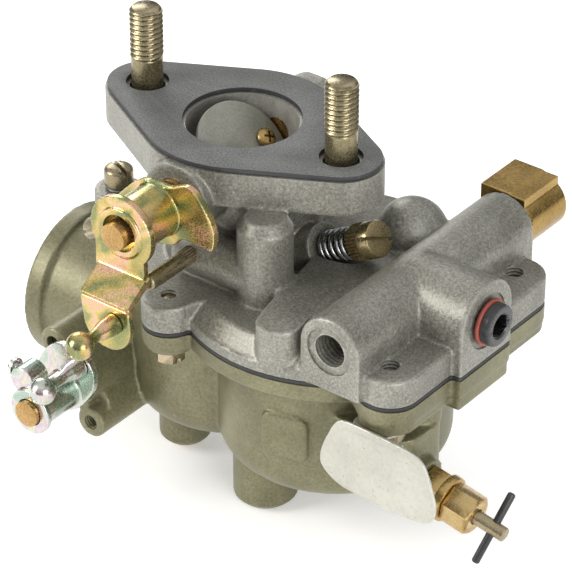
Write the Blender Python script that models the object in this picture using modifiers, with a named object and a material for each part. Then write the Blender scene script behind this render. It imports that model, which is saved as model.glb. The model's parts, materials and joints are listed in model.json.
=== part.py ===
"""An updraft carburettor, as separate pieces.

The frame: the origin is the centre of the throttle bore on the manifold face of the flange gasket.
+Z points up into the manifold, +X runs from the air horn to the fuel inlet, and +Y runs along the
throttle and choke shafts, away from their levers.
"""

import math

import bmesh
import bpy
from mathutils import Matrix, Vector

MM = 0.001
GAP = 0.3 * MM  # between pieces that touch
X, Y, Z = Vector((1, 0, 0)), Vector((0, 1, 0)), Vector((0, 0, 1))

# Manifold flange
STUD_SPACING = 68.3 * MM
STUD_R = 4.76 * MM
STUD_TOP_Z = 23.4 * MM
STUD_FOOT_Z = -11.6 * MM
FLANGE_MIDDLE_R = 28.3 * MM
FLANGE_END_R = 12.0 * MM
GASKET_T = 1.3 * MM
FLANGE_TOP_Z = -GASKET_T - GAP
FLANGE_BOTTOM_Z = -12.4 * MM
BORE_R = 15.9 * MM

# Where the two castings meet
PARTING_Z = -45.0 * MM
BOWL_GASKET_T = 1.0 * MM
BOWL_TOP_Z = PARTING_Z - BOWL_GASKET_T - 2 * GAP
RIM_TOP_Z = -42.0 * MM
RIM_BOTTOM_Z = -51.6 * MM
RIGHT_FOOT_Z = -54.6 * MM
EAR_TOP_Z = -37.0 * MM
BOWL_X = 33.0 * MM
RIM_R = 44.3 * MM
RIGHT_FACE_X = 84.5 * MM
THROAT_FLANGE = (-5.0 * MM, 30.0 * MM)  # its centre's x, and its radius
EAR_SCREW_R = 2.4 * MM
FRONT_EAR = Vector((4.2, -38.2, 0)) * MM
LEFT_EAR = Vector((-46.0, 0, 0)) * MM
RIGHT_EAR = Vector((72.8, -29.0, 0)) * MM
EAR_R = 7.8 * MM
RIGHT_EAR_R = 8.8 * MM

# Throttle shaft and lever
SHAFT_R = 3.95 * MM
THROTTLE_Z = -11.6 * MM
THROTTLE_OPEN = math.radians(47)
THROTTLE_END_Y = -56.2 * MM
SHAFT_BOSS_R = 10.6 * MM
SHAFT_BOSS_Y = (-30.0 * MM, 34.0 * MM)
STOP_PIN = Vector((4.6, 0, -28.6)) * MM
STOP_PIN_R = 2.4 * MM

# Choke shaft and air horn
CHOKE = Vector((-27.5, 0, -76.7)) * MM
CHOKE_END_Y = -64.0 * MM
CHOKE_BOSS_Y = -44.4 * MM
HORN_X = -64.0 * MM
HORN_Z = -77.0 * MM
HORN_R = 23.7 * MM
HORN_BORE_R = 20.4 * MM
CHOKE_PLATE_R = 19.8 * MM

# Fuel passages
TUNNEL_X = 60.5 * MM
TUNNEL_Z = -32.0 * MM
TUNNEL_R = 9.8 * MM
TUNNEL_Y = (-40.0 * MM, 42.0 * MM)
PLUG_Z = -32.8 * MM
PLUG_Y = -1.0 * MM
ELBOW_Y = (42.8 * MM, 59.8 * MM)

# Idle mixture screw
IDLE_TILT = math.radians(29)
IDLE_AXIS = Vector((math.cos(IDLE_TILT), 0, math.sin(IDLE_TILT)))
IDLE_FACE = Vector((29.6, 0, -31.3)) * MM
IDLE_HEAD_END = 20.4 * MM  # from the boss's face to the end of the head
IDLE_HEAD_LENGTH = 8.6 * MM
IDLE_HEAD_R = 5.3 * MM
IDLE_STEM_R = 2.2 * MM
SPRING_R = 4.1 * MM
SPRING_WIRE_R = 0.55 * MM

# Fuel bowl, throat and the wells below
BOWL_R = 33.6 * MM
BOWL_INSIDE_R = 30.6 * MM
BOWL_BOTTOM_Z = -94.0 * MM
BOWL_FLOOR_Z = -90.5 * MM
THROAT_R = 15.2 * MM
THROAT_WALL_R = 18.0 * MM
FRONT_WELL = (Vector((19.5, -15.0, 0)) * MM, 9.4 * MM, -111.5 * MM)
REAR_WELL = (Vector((-16.0, -8.0, 0)) * MM, 7.7 * MM, -110.0 * MM)

# Main adjusting needle
NEEDLE_TILT = math.radians(-11)
NEEDLE_AXIS = Vector((math.cos(NEEDLE_TILT), 0, math.sin(NEEDLE_TILT)))
NEEDLE_END = Vector((106.2, -21.0, -82.8)) * MM
NEEDLE_R = 2.1 * MM

# Float and inlet valve
HINGE = Vector((59.5, 0, -50.5)) * MM
FLOAT_DROP = math.radians(10)
VALVE_X = 51.5 * MM

PARTS = "Carburetor"
HELPERS = "Cutters"


def collection(name):
    made = bpy.data.collections.new(name)
    bpy.context.scene.collection.children.link(made)
    return made


def clear_scene():
    for obj in list(bpy.data.objects):
        bpy.data.objects.remove(obj, do_unlink=True)
    collection(PARTS)
    collection(HELPERS).hide_render = True


def material(name, color, roughness, metallic):
    made = bpy.data.materials.get(name)
    if made is None:
        made = bpy.data.materials.new(name)
        made.use_nodes = True
        shader = made.node_tree.nodes["Principled BSDF"]
        shader.inputs["Base Color"].default_value = (*color, 1)
        shader.inputs["Roughness"].default_value = roughness
        shader.inputs["Metallic"].default_value = metallic
    return made


def cast_grey():
    return material("cast aluminium", (0.42, 0.40, 0.37), 0.55, 0.8)


def cast_olive():
    return material("chromated casting", (0.23, 0.22, 0.15), 0.55, 0.6)


def gasket_grey():
    return material("gasket sheet", (0.16, 0.17, 0.19), 0.9, 0)


def zinc_gold():
    return material("yellow zinc plate", (0.68, 0.52, 0.30), 0.3, 1)


def steel():
    return material("bright steel", (0.55, 0.53, 0.50), 0.3, 1)


def copper():
    return material("shaft bronze", (0.62, 0.38, 0.18), 0.3, 1)


def brass():
    return material("brass", (0.60, 0.42, 0.16), 0.3, 1)


def black_oxide():
    return material("black oxide steel", (0.02, 0.02, 0.022), 0.4, 0.6)


def red_seal():
    return material("red rubber", (0.42, 0.05, 0.02), 0.5, 0)


def tag_aluminium():
    return material("tag aluminium", (0.78, 0.77, 0.73), 0.5, 0.7)


def place(obj, look=None):
    """Puts an object with the parts, or with the helpers when it has no material."""
    bpy.data.collections[PARTS if look else HELPERS].objects.link(obj)
    if look:
        obj.data.materials.clear()
        obj.data.materials.append(look)
        if obj.type == "MESH":
            obj.data.shade_smooth()
            obj.data.set_sharp_from_angle(angle=math.radians(35))
    else:
        obj.hide_render = True
        obj.display_type = "WIRE"
    return obj


def from_bmesh(name, bm, look=None):
    mesh = bpy.data.meshes.new(name)
    bmesh.ops.recalc_face_normals(bm, faces=bm.faces)
    bm.to_mesh(mesh)
    bm.free()
    return place(bpy.data.objects.new(name, mesh), look)


def aim(obj, start, direction):
    """Stands an object's +Z on start, pointing along direction."""
    obj.matrix_world = Matrix.Translation(start) @ direction.to_track_quat("Z", "Y").to_matrix().to_4x4()
    return obj


def rod(name, radius, start, end, look=None, sides=14, end_radius=None):
    """A cylinder, or a cone, from start to end."""
    direction = end - start
    bm = bmesh.new()
    tip = radius if end_radius is None else end_radius
    bmesh.ops.create_cone(
        bm, cap_ends=True, segments=sides, radius1=radius, radius2=tip, depth=direction.length
    )
    bmesh.ops.translate(bm, vec=(0, 0, direction.length / 2), verts=bm.verts)
    return aim(from_bmesh(name, bm, look), start, direction)


def upright(name, radius, centre, low, high, look=None, sides=14, top_radius=None):
    return rod(name, radius, at(centre, low), at(centre, high), look, sides, top_radius)


def along_y(name, radius, centre, near, far, look=None, sides=14):
    start = Vector((centre.x, near, centre.z))
    end = Vector((centre.x, far, centre.z))
    return rod(name, radius, start, end, look, sides)


def at(point, height):
    return Vector((point.x, point.y, height))


def mirrored(point):
    return Vector((point.x, -point.y, point.z))


def block(name, low, high, look=None):
    bm = bmesh.new()
    bmesh.ops.create_cube(bm, size=1)
    low, high = Vector(low), Vector(high)
    bmesh.ops.scale(bm, vec=high - low, verts=bm.verts)
    bmesh.ops.translate(bm, vec=(low + high) / 2, verts=bm.verts)
    return from_bmesh(name, bm, look)


def hull(name, circles, low, high, look=None, sides=16):
    """The plate around some upright circles, each a centre and a radius."""
    bm = bmesh.new()
    for centre, radius in circles:
        for height in (low, high):
            spot = Matrix.Translation((centre[0], centre[1], height))
            bmesh.ops.create_circle(bm, radius=radius, segments=sides, matrix=spot)
    made = bmesh.ops.convex_hull(bm, input=bm.verts)
    spare = [item for item in made["geom_interior"] if isinstance(item, bmesh.types.BMVert)]
    bmesh.ops.delete(bm, geom=spare, context="VERTS")
    bmesh.ops.dissolve_limit(bm, angle_limit=math.radians(1), verts=bm.verts, edges=bm.edges)
    return from_bmesh(name, bm, look)


def turned(name, profile, start, direction, look=None, steps=18):
    """A profile of (radius, height) points, top to bottom, turned about direction through start."""
    mesh = bpy.data.meshes.new(name)
    points = [(radius, 0, height) for radius, height in profile]
    mesh.from_pydata(points, [(i, i + 1) for i in range(len(points) - 1)], [])
    obj = place(bpy.data.objects.new(name, mesh), look)
    screw = obj.modifiers.new("Turn", "SCREW")
    screw.steps = steps
    screw.render_steps = steps
    screw.use_merge_vertices = True
    screw.merge_threshold = 1e-6
    screw.use_smooth_shade = False
    return aim(obj, start, direction)


def arc(centre_r, centre_z, radius, first, last, count):
    """Points on a rounded corner of a turned profile, by angle from the radius's direction."""
    turns = [math.radians(first + (last - first) * i / count) for i in range(count + 1)]
    return [(centre_r + radius * math.cos(t), centre_z + radius * math.sin(t)) for t in turns]


def flat_shape(name, outline, thickness, look=None):
    """A closed 2D outline of (x, y) points as a plate, centred on its own XY plane."""
    curve = bpy.data.curves.new(name, "CURVE")
    curve.dimensions = "2D"
    curve.fill_mode = "BOTH"
    curve.extrude = thickness / 2
    spline = curve.splines.new("POLY")
    spline.points.add(len(outline) - 1)
    for point, (x, y) in zip(spline.points, outline):
        point.co = (x, y, 0, 1)
    spline.use_cyclic_u = True
    return made_mesh(place(bpy.data.objects.new(name, curve)), look)


def made_mesh(source, look):
    """Turns a curve object into a mesh object with welded caps."""
    name = source.name
    bpy.context.view_layer.update()
    graph = bpy.context.evaluated_depsgraph_get()
    mesh = bpy.data.meshes.new_from_object(source.evaluated_get(graph))
    world = source.matrix_world.copy()
    bpy.data.objects.remove(source, do_unlink=True)
    bm = bmesh.new()
    bm.from_mesh(mesh)
    bmesh.ops.remove_doubles(bm, verts=bm.verts, dist=1e-6)
    bmesh.ops.recalc_face_normals(bm, faces=bm.faces)
    bm.to_mesh(mesh)
    bm.free()
    obj = place(bpy.data.objects.new(name, mesh), look)
    obj.matrix_world = world
    return obj


def wire(name, points, radius, look, smoothness=2):
    curve = bpy.data.curves.new(name, "CURVE")
    curve.dimensions = "3D"
    curve.bevel_depth = radius
    curve.bevel_resolution = smoothness
    curve.use_fill_caps = True
    spline = curve.splines.new("POLY")
    spline.points.add(len(points) - 1)
    for point, spot in zip(spline.points, points):
        point.co = (*spot, 1)
    return made_mesh(place(bpy.data.objects.new(name, curve)), look)


def tidy(target):
    """Merges the flat faces that the Booleans split."""
    flat = target.modifiers.new("Tidy", "DECIMATE")
    flat.decimate_type = "DISSOLVE"
    flat.angle_limit = math.radians(1.5)


def combine(target, pieces, operation):
    """One Boolean of target with all the pieces."""
    group = bpy.data.collections.new(f"{target.name} {operation.lower()}")
    bpy.data.collections[HELPERS].children.link(group)
    for piece in pieces:
        bpy.data.collections[HELPERS].objects.unlink(piece)
        group.objects.link(piece)
    boolean = target.modifiers.new(operation.title(), "BOOLEAN")
    boolean.operation = operation
    boolean.operand_type = "COLLECTION"
    boolean.collection = group
    boolean.solver = "EXACT"
    return target


def join(target, *pieces):
    return combine(target, pieces, "UNION")


def cut(target, *pieces):
    return combine(target, pieces, "DIFFERENCE")


def xy(point):
    return (point.x, point.y)


def rim_plates(name, low, high, ear_r=EAR_R, shrink=0.0):
    """The outline in which the castings meet, as overlapping plates."""
    throat_x, throat_r = THROAT_FLANGE
    throat = ((throat_x, 0), throat_r - shrink)
    right = RIGHT_EAR_R - shrink
    yield hull(f"{name} bowl", [((BOWL_X, 0), RIM_R - shrink)], low, high, sides=34)
    yield hull(f"{name} throat", [throat, (xy(LEFT_EAR), 7 * MM - shrink)], low, high)
    yield hull(
        f"{name} ears",
        [(xy(FRONT_EAR), ear_r - shrink), (xy(mirrored(FRONT_EAR)), ear_r - shrink), ((8 * MM, 0), 20 * MM)],
        low,
        high,
    )
    yield hull(
        f"{name} right ears",
        [(xy(RIGHT_EAR), right), (xy(mirrored(RIGHT_EAR)), right), ((50 * MM, 0), 20 * MM)],
        low,
        high,
    )
    yield block(f"{name} face", (60 * MM, -13 * MM, low), (RIGHT_FACE_X - shrink, 11 * MM, high))


def flange_outline(name, low, high, look=None, shrink=0.0):
    half = STUD_SPACING / 2
    circles = [((0, 0), FLANGE_MIDDLE_R - shrink)]
    circles += [((side * half, 0), FLANGE_END_R - shrink) for side in (-1, 1)]
    return hull(name, circles, low, high, look, sides=36)


def stud_spots():
    return [("left", Vector((-STUD_SPACING / 2, 0, 0))), ("right", Vector((STUD_SPACING / 2, 0, 0)))]


def throttle_body():
    """The upper casting: flange, throttle barrel, bowl cover and fuel passages."""
    body = flange_outline("throttle_body", FLANGE_BOTTOM_Z, FLANGE_TOP_Z, cast_grey())
    centre = Vector((0, 0, 0))
    bowl = Vector((BOWL_X, 0, 0))
    throttle = Vector((0, 0, THROTTLE_Z))
    tunnel = Vector((TUNNEL_X, 0, TUNNEL_Z))
    column = Vector((25.5, -22.5, 0)) * MM
    half_boss = (42.0 * MM, -37.3 * MM)
    vent = Vector((44.2, 20, 0)) * MM
    dome = [(0, -30.5 * MM), (29 * MM, -31.3 * MM)]
    dome += arc(32.5 * MM, -36.6 * MM, 5 * MM, 80, 25, 3)
    dome += [
        (RIM_R - 0.4 * MM, RIM_TOP_Z - 0.3 * MM), (RIM_R - 0.4 * MM, PARTING_Z + MM), (0, PARTING_Z + MM)
    ]
    # The cover steps down beside the barrel, along a line from the half round boss towards the barrel.
    step = block("cover step", (-45 * MM, -8 * MM, -37 * MM), (0, 36 * MM, -28 * MM))
    step.matrix_world = Matrix.Translation(Vector((36.7, -42.1, 0)) * MM) @ Matrix.Rotation(
        math.radians(11.7), 4, "Z"
    )
    cover = turned("dome", dome, bowl, Z, steps=34)
    cut(cover, step)
    plates = rim_plates("cover", PARTING_Z, RIM_TOP_Z)
    pieces = [
        *plates,
        upright("barrel", 21.5 * MM, centre, PARTING_Z + MM, FLANGE_BOTTOM_Z + MM, sides=22),
        cover,
        along_y("shaft boss", SHAFT_BOSS_R, throttle, *SHAFT_BOSS_Y, sides=18),
        along_y("pin boss", 7 * MM, STOP_PIN, -28.6 * MM, -10 * MM),
        hull("front ear", [(xy(FRONT_EAR), EAR_R), ((9 * MM, -22 * MM), 9 * MM)], PARTING_Z, EAR_TOP_Z),
        hull(
            "rear ear",
            [(xy(mirrored(FRONT_EAR)), EAR_R), ((9 * MM, 22 * MM), 9 * MM)],
            PARTING_Z,
            EAR_TOP_Z,
        ),
        hull(
            "left ear",
            [(xy(LEFT_EAR), 7.2 * MM), ((-14 * MM, 0), 9 * MM)],
            PARTING_Z,
            EAR_TOP_Z - 2.6 * MM,
        ),
        along_y("tunnel", TUNNEL_R, tunnel, *TUNNEL_Y, sides=28),
        block(
            "tunnel foot",
            (TUNNEL_X - TUNNEL_R, TUNNEL_Y[0], PARTING_Z),
            (TUNNEL_X + TUNNEL_R, TUNNEL_Y[1], TUNNEL_Z),
        ),
        rod(
            "cross tunnel",
            11.9 * MM,
            Vector((TUNNEL_X, PLUG_Y, PLUG_Z)),
            Vector((RIGHT_FACE_X, PLUG_Y, PLUG_Z)),
            sides=28,
        ),
        block(
            "cross tunnel foot",
            (TUNNEL_X, PLUG_Y - 11.9 * MM, PARTING_Z),
            (RIGHT_FACE_X, PLUG_Y + 11.9 * MM, PLUG_Z),
        ),
        rod("idle boss", 7.6 * MM, IDLE_FACE - IDLE_AXIS * 13.5 * MM, IDLE_FACE, sides=16),
        upright("column", 7.8 * MM, column, -39 * MM, -14.6 * MM, sides=16),
        upright("column shoulder", 7.8 * MM, column, -14.7 * MM, -11.5 * MM, sides=16, top_radius=5.6 * MM),
        hull(
            "half round boss",
            [(half_boss, 6.5 * MM), ((38.5 * MM, -22.0 * MM), 6.5 * MM)],
            PARTING_Z + 2 * MM,
            -30.9 * MM,
        ),
        rod("idle passage", 6.6 * MM, Vector((-2, -23.5, -30.5)) * MM, Vector((25.5, -23.5, -30.5)) * MM),
        upright("vent chamber", 10.3 * MM, vent, PARTING_Z + MM, -30.4 * MM, sides=18),
        ball("vent chamber top", 10.3 * MM, at(vent, -30.4 * MM), segments=16),
    ]
    for side, ear in (("near", RIGHT_EAR), ("far", mirrored(RIGHT_EAR))):
        inner = Vector((ear.x, ear.y * 0.5, 0))
        circles = [(xy(ear), RIGHT_EAR_R), (xy(inner), RIGHT_EAR_R)]
        pieces.append(hull(f"{side} right ear", circles, PARTING_Z, EAR_TOP_Z))
    join(body, *pieces)
    seat_hole = Vector((VALVE_X, 0, 0))
    holes = [
        upright("bore", BORE_R, centre, PARTING_Z - MM, MM, sides=36),
        block("above the gasket face", (-60 * MM, -45 * MM, FLANGE_TOP_Z), (60 * MM, 45 * MM, 5 * MM)),
        rod("idle relief", 5.6 * MM, IDLE_FACE, IDLE_FACE + IDLE_AXIS * 22 * MM),
        upright(
            "cover hollow", 29 * MM, Vector((BOWL_X + 4 * MM, 0, 0)), PARTING_Z - MM, -38 * MM, sides=28
        ),
        along_y("shaft bore", SHAFT_R + GAP, throttle, -35 * MM, 29 * MM, sides=18),
        along_y("front bush bore", 6 * MM, throttle, -35 * MM, -22 * MM, sides=14),
        along_y("rear bush bore", 6 * MM, throttle, 23 * MM, 30 * MM, sides=14),
        along_y("stop pin hole", STOP_PIN_R + GAP, STOP_PIN, -30 * MM, -18 * MM, sides=12),
        along_y("fuel gallery", 4.85 * MM, tunnel, TUNNEL_Y[0] - MM, -9 * MM, sides=18),
        along_y("gallery mouth", 7.2 * MM, tunnel, TUNNEL_Y[0] - MM, TUNNEL_Y[0] + 0.5 * MM, sides=18),
        along_y("inlet thread", 6.4 * MM, tunnel, 28 * MM, TUNNEL_Y[1] + MM, sides=14),
        along_y("inlet passage", 2.5 * MM, tunnel, -8 * MM, 29 * MM, sides=12),
        rod(
            "plug hole",
            5.2 * MM,
            Vector((64 * MM, PLUG_Y, PLUG_Z)),
            Vector((RIGHT_FACE_X + MM, PLUG_Y, PLUG_Z)),
        ),
        upright("seat hole", 4.2 * MM, seat_hole, -39 * MM, -33 * MM, sides=12),
        rod("seat feed", 2 * MM, Vector((VALVE_X, 0, -34 * MM)), Vector((TUNNEL_X, 0, -33 * MM)), sides=12),
        rod(
            "idle hole",
            IDLE_STEM_R + GAP,
            IDLE_FACE + IDLE_AXIS * MM,
            IDLE_FACE - IDLE_AXIS * 20 * MM,
            sides=12,
        ),
        upright("left screw hole", 2.9 * MM, LEFT_EAR, PARTING_Z - MM, EAR_TOP_Z, sides=12),
        upright(
            "idle jet hole", 2.2 * MM, Vector((14.5, 13.0, 0)) * MM, PARTING_Z - MM, -36.5 * MM, sides=14
        ),
    ]
    for side, ear in (("front", FRONT_EAR), ("rear", mirrored(FRONT_EAR))):
        holes.append(
            upright(
                f"{side} ear thread", EAR_SCREW_R + GAP, ear, PARTING_Z - MM, EAR_TOP_Z + MM, sides=12
            ),
        )
    for side, ear in (("near", RIGHT_EAR), ("far", mirrored(RIGHT_EAR))):
        holes.append(
            upright(f"{side} right thread", 2.9 * MM, ear, PARTING_Z - MM, EAR_TOP_Z + MM, sides=12)
        )
    for side, spot in stud_spots():
        holes.append(upright(f"{side} stud hole", STUD_R + GAP, spot, STUD_FOOT_Z - GAP, MM, sides=16))
    cut(body, *holes)
    tidy(body)


def bowl_profile(radius, top, bottom, corner):
    return [(0, top), (radius, top)] + arc(
        radius - corner, bottom + corner, corner, 0, -90, 5
    ) + [(0, bottom)]


def fuel_bowl():
    """The lower casting: bowl, throat, air horn, choke bosses and the main jet's block."""
    plates = list(rim_plates("bowl", RIM_BOTTOM_Z, BOWL_TOP_Z))
    body = hull("fuel_bowl", [((BOWL_X, 0), RIM_R - MM)], RIM_BOTTOM_Z + MM, BOWL_TOP_Z - MM, cast_olive())
    centre = Vector((0, 0, 0))
    bowl = Vector((BOWL_X, 0, 0))
    throat = Vector((THROAT_FLANGE[0], 0, 0))
    horn = Vector((0, 0, HORN_Z))
    upper_bracket, lower_bracket = bracket_spots()
    pad = block("pad", (25 * MM, -7 * MM, -7 * MM), (BOWL_R + 0.9 * MM, 7 * MM, 7 * MM))
    pad.matrix_world = Matrix.Translation(at(bowl, -72 * MM)) @ Matrix.Rotation(math.radians(-77.5), 4, "Z")
    jet = NEEDLE_END - NEEDLE_AXIS * 27.0 * MM
    pieces = [
        *plates,
        turned(
            "bowl wall", bowl_profile(BOWL_R, RIM_BOTTOM_Z + MM, BOWL_BOTTOM_Z, 9 * MM), bowl, Z, steps=34
        ),
        turned(
            "throat wall", bowl_profile(29 * MM, RIM_BOTTOM_Z + MM, -93 * MM, 9 * MM), throat, Z, steps=36
        ),
        rod("horn", HORN_R - 1.5 * MM, horn + X * (HORN_X + MM), horn + X * -10 * MM, sides=36),
        rod("horn rim", HORN_R, horn + X * HORN_X, horn + X * (HORN_X + 6 * MM), sides=36),
        along_y("choke boss", 7.5 * MM, CHOKE, CHOKE_BOSS_Y, -10 * MM),
        along_y("rear choke boss", 7.5 * MM, CHOKE, 10 * MM, 28 * MM),
        along_y("upper bracket boss", 4.8 * MM, upper_bracket, CHOKE_BOSS_Y, -10 * MM),
        along_y("lower bracket boss", 4.8 * MM, lower_bracket, CHOKE_BOSS_Y, -10 * MM),
        upright("front well", FRONT_WELL[1], FRONT_WELL[0], FRONT_WELL[2] + 2 * MM, -88 * MM, sides=18),
        upright(
            "front well foot",
            FRONT_WELL[1] - 2 * MM,
            FRONT_WELL[0],
            FRONT_WELL[2],
            FRONT_WELL[2] + 2.01 * MM,
            sides=18,
            top_radius=FRONT_WELL[1],
        ),
        upright("rear well", REAR_WELL[1], REAR_WELL[0], REAR_WELL[2] + 2 * MM, -88 * MM, sides=16),
        upright(
            "rear well foot",
            REAR_WELL[1] - 2 * MM,
            REAR_WELL[0],
            REAR_WELL[2],
            REAR_WELL[2] + 2.01 * MM,
            sides=16,
            top_radius=REAR_WELL[1],
        ),
        upright("front ear foot", EAR_R - 0.8 * MM, FRONT_EAR, RIM_BOTTOM_Z - 1.5 * MM, BOWL_TOP_Z - MM),
        upright(
            "rear ear foot",
            EAR_R - 0.8 * MM,
            mirrored(FRONT_EAR),
            RIM_BOTTOM_Z - 1.5 * MM,
            BOWL_TOP_Z - MM,
        ),
        pad,
        hull(
            "right foot",
            [(xy(RIGHT_EAR), RIGHT_EAR_R - 0.4 * MM), (xy(mirrored(RIGHT_EAR)), RIGHT_EAR_R - 0.4 * MM)],
            RIGHT_FOOT_Z,
            BOWL_TOP_Z - MM,
        ),
        block(
            "face foot",
            (62 * MM, -12.6 * MM, RIGHT_FOOT_Z - 2 * MM),
            (RIGHT_FACE_X - 0.4 * MM, 10.6 * MM, -48 * MM),
        ),
        hull(
            "jet block",
            [
                ((55 * MM, -21 * MM), 7 * MM), ((70.5 * MM, -21 * MM), 7 * MM),
                ((70.8 * MM, -14.5 * MM), 7 * MM),
            ],
            -84 * MM,
            -62.5 * MM,
        ),
        hull(
            "jet block neck",
            [((58 * MM, -13 * MM), 6 * MM), ((70.8 * MM, -12.5 * MM), 6.4 * MM)],
            -63 * MM,
            RIM_BOTTOM_Z + MM,
        ),
        rod("jet boss", 7.6 * MM, jet - NEEDLE_AXIS * 24 * MM, jet, sides=16),
    ]
    web = [
        along_y(
            "web end", 4.0 * MM, spot, CHOKE_BOSS_Y + 4 * MM, -10 * MM
        ) for spot in (upper_bracket, lower_bracket)
    ]
    pieces += web
    pieces.append(bracket_web(upper_bracket, lower_bracket))
    join(body, *pieces)
    hollow = turned(
        "bowl hollow",
        bowl_profile(BOWL_INSIDE_R, BOWL_TOP_Z + MM, BOWL_FLOOR_Z, 7 * MM),
        bowl,
        Z,
        steps=36,
    )
    cut(hollow, upright("throat keep", THROAT_WALL_R, centre, -100 * MM, 0, sides=28))
    holes = [
        hollow,
        upright("throat bore", THROAT_R, centre, HORN_Z, BOWL_TOP_Z + MM, sides=36),
        rod("horn bore", HORN_BORE_R, horn + X * (HORN_X - MM), horn + X * -7 * MM, sides=36),
        rod("elbow bore", 15.2 * MM, horn + X * -8 * MM, horn, sides=28),
        ball("elbow turn", 15.2 * MM, horn),
        along_y("choke shaft bore", SHAFT_R + GAP, CHOKE, CHOKE_BOSS_Y - MM, 24 * MM, sides=14),
        along_y("upper bracket thread", 2.2 * MM, upper_bracket, CHOKE_BOSS_Y - MM, -32 * MM, sides=12),
        along_y("lower bracket thread", 2.2 * MM, lower_bracket, CHOKE_BOSS_Y - MM, -32 * MM, sides=12),
        upright("front well hole", 5.6 * MM, FRONT_WELL[0], FRONT_WELL[2] - MM, -92 * MM, sides=12),
        upright("rear well hole", 4.6 * MM, REAR_WELL[0], REAR_WELL[2] - MM, -99 * MM, sides=12),
        rod("jet hole", 5.3 * MM, jet - NEEDLE_AXIS * 9 * MM, jet + NEEDLE_AXIS * MM, sides=14),
        upright("nozzle hole", 3.5 * MM, centre, -91.5 * MM, HORN_Z, sides=12),
        rod("jet passage", 3.2 * MM, jet - NEEDLE_AXIS * 24 * MM, jet - NEEDLE_AXIS * 8 * MM, sides=12),
    ]
    screw_holes = (FRONT_EAR, mirrored(FRONT_EAR), RIGHT_EAR, mirrored(RIGHT_EAR), LEFT_EAR)
    for number, ear in enumerate(screw_holes):
        holes.append(upright(f"screw hole {number}", 2.8 * MM, ear, -58 * MM, BOWL_TOP_Z + MM, sides=12))
    cut(body, *holes)
    tidy(body)


def bracket_spots():
    """The two tapped bosses that carry a choke cable bracket, either side of the choke shaft."""
    offset = Vector((6.5, 0, -10.9)) * MM
    return CHOKE - offset, CHOKE + offset


def bracket_web(upper, lower):
    """The thick wall between the bracket bosses."""
    middle = (upper + lower) / 2
    across = lower - upper
    web = block(
        "web", (-5 * MM, -26 * MM, -across.length / 2), (5 * MM, CHOKE_BOSS_Y + 5 * MM, across.length / 2)
    )
    web.matrix_world = Matrix.Translation((middle.x, 0, middle.z)) @ Matrix.Rotation(
        math.atan2(-across.x, -across.z), 4, "Y"
    )
    return web


def ball(name, radius, centre, look=None, segments=14):
    bm = bmesh.new()
    bmesh.ops.create_uvsphere(bm, u_segments=segments, v_segments=segments // 2, radius=radius)
    bmesh.ops.translate(bm, vec=centre, verts=bm.verts)
    return from_bmesh(name, bm, look)


def gaskets():
    flange = flange_outline("flange_gasket", -GASKET_T, 0, gasket_grey(), shrink=0.6 * MM)
    holes = [upright("gasket bore", 16.7 * MM, Vector(), -2 * MM, MM, sides=36)]
    for side, spot in stud_spots():
        holes.append(upright(f"gasket {side} hole", 6.1 * MM, spot, -2 * MM, MM, sides=18))
    cut(flange, *holes)
    top = PARTING_Z - GAP
    low = top - BOWL_GASKET_T
    plates = list(rim_plates("seal", low, top, shrink=0.3 * MM))
    bowl = hull("bowl_gasket", [((BOWL_X, 0), RIM_R - MM)], low, top, gasket_grey(), sides=34)
    join(bowl, *plates)
    inside = upright("gasket hollow", 27 * MM, Vector((BOWL_X + 3 * MM, 0, 0)), low - MM, top + MM, sides=36)
    cut(inside, upright("gasket throat keep", 18.5 * MM, Vector(), low - 2 * MM, top + 2 * MM, sides=28))
    holes = [inside, upright("throat opening", BORE_R, Vector(), low - MM, top + MM, sides=36)]
    for number, ear in enumerate((FRONT_EAR, mirrored(FRONT_EAR), RIGHT_EAR, mirrored(RIGHT_EAR), LEFT_EAR)):
        holes.append(upright(f"gasket screw hole {number}", 2.9 * MM, ear, low - MM, top + MM, sides=12))
    cut(bowl, *holes)
    tidy(bowl)


def studs():
    chamfer = 1.0 * MM
    for side, spot in stud_spots():
        profile = [
            (0, STUD_TOP_Z),
            (STUD_R - chamfer, STUD_TOP_Z),
            (STUD_R, STUD_TOP_Z - chamfer),
            (STUD_R, 8.2 * MM),
            (STUD_R - 0.4 * MM, 7.2 * MM),
            (STUD_R - 0.4 * MM, 1.0 * MM),
            (STUD_R, 0),
            (STUD_R, STUD_FOOT_Z),
            (0, STUD_FOOT_Z),
        ]
        turned(f"stud_{side}", profile, spot, Z, zinc_gold(), steps=16)


def stop_sector(axis, near, far):
    """The rear plate: a fan on one side, whose lower edge meets the stop pin, and a lobe on the other."""
    # Points in mm from the shaft's centre, clockwise from the top.
    fan = [
        (0.6, 8.0), (4.4, 8.2), (7.6, 9.9), (10.3, 10.7), (12.7, 10.0), (15.3, 7.4), (17.1, 4.9),
        (19.1, 1.8),
    ]
    fan += [(19.8, -1.1), (19.6, -4.3), (18.7, -6.4), (15.9, -6.3), (11.4, -6.2), (8.3, -6.4), (6.8, -8.6)]
    fan += [
        (3.6, -10.4), (-1.0, -10.8), (-6.0, -9.0), (-9.5, -6.2), (-14.0, -5.6), (-15.0, -3.4),
        (-14.0, -0.8),
    ]
    fan += [(-11.0, 2.6), (-8.3, 5.5), (-5.6, 7.4), (-2.6, 8.2)]
    made = flat_shape("stop sector", [(x * MM, z * MM) for x, z in fan], far - near)
    middle = Matrix.Translation((axis.x, (near + far) / 2, axis.z))
    made.matrix_world = middle @ Matrix.Rotation(math.pi / 2, 4, "X")
    return made


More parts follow.
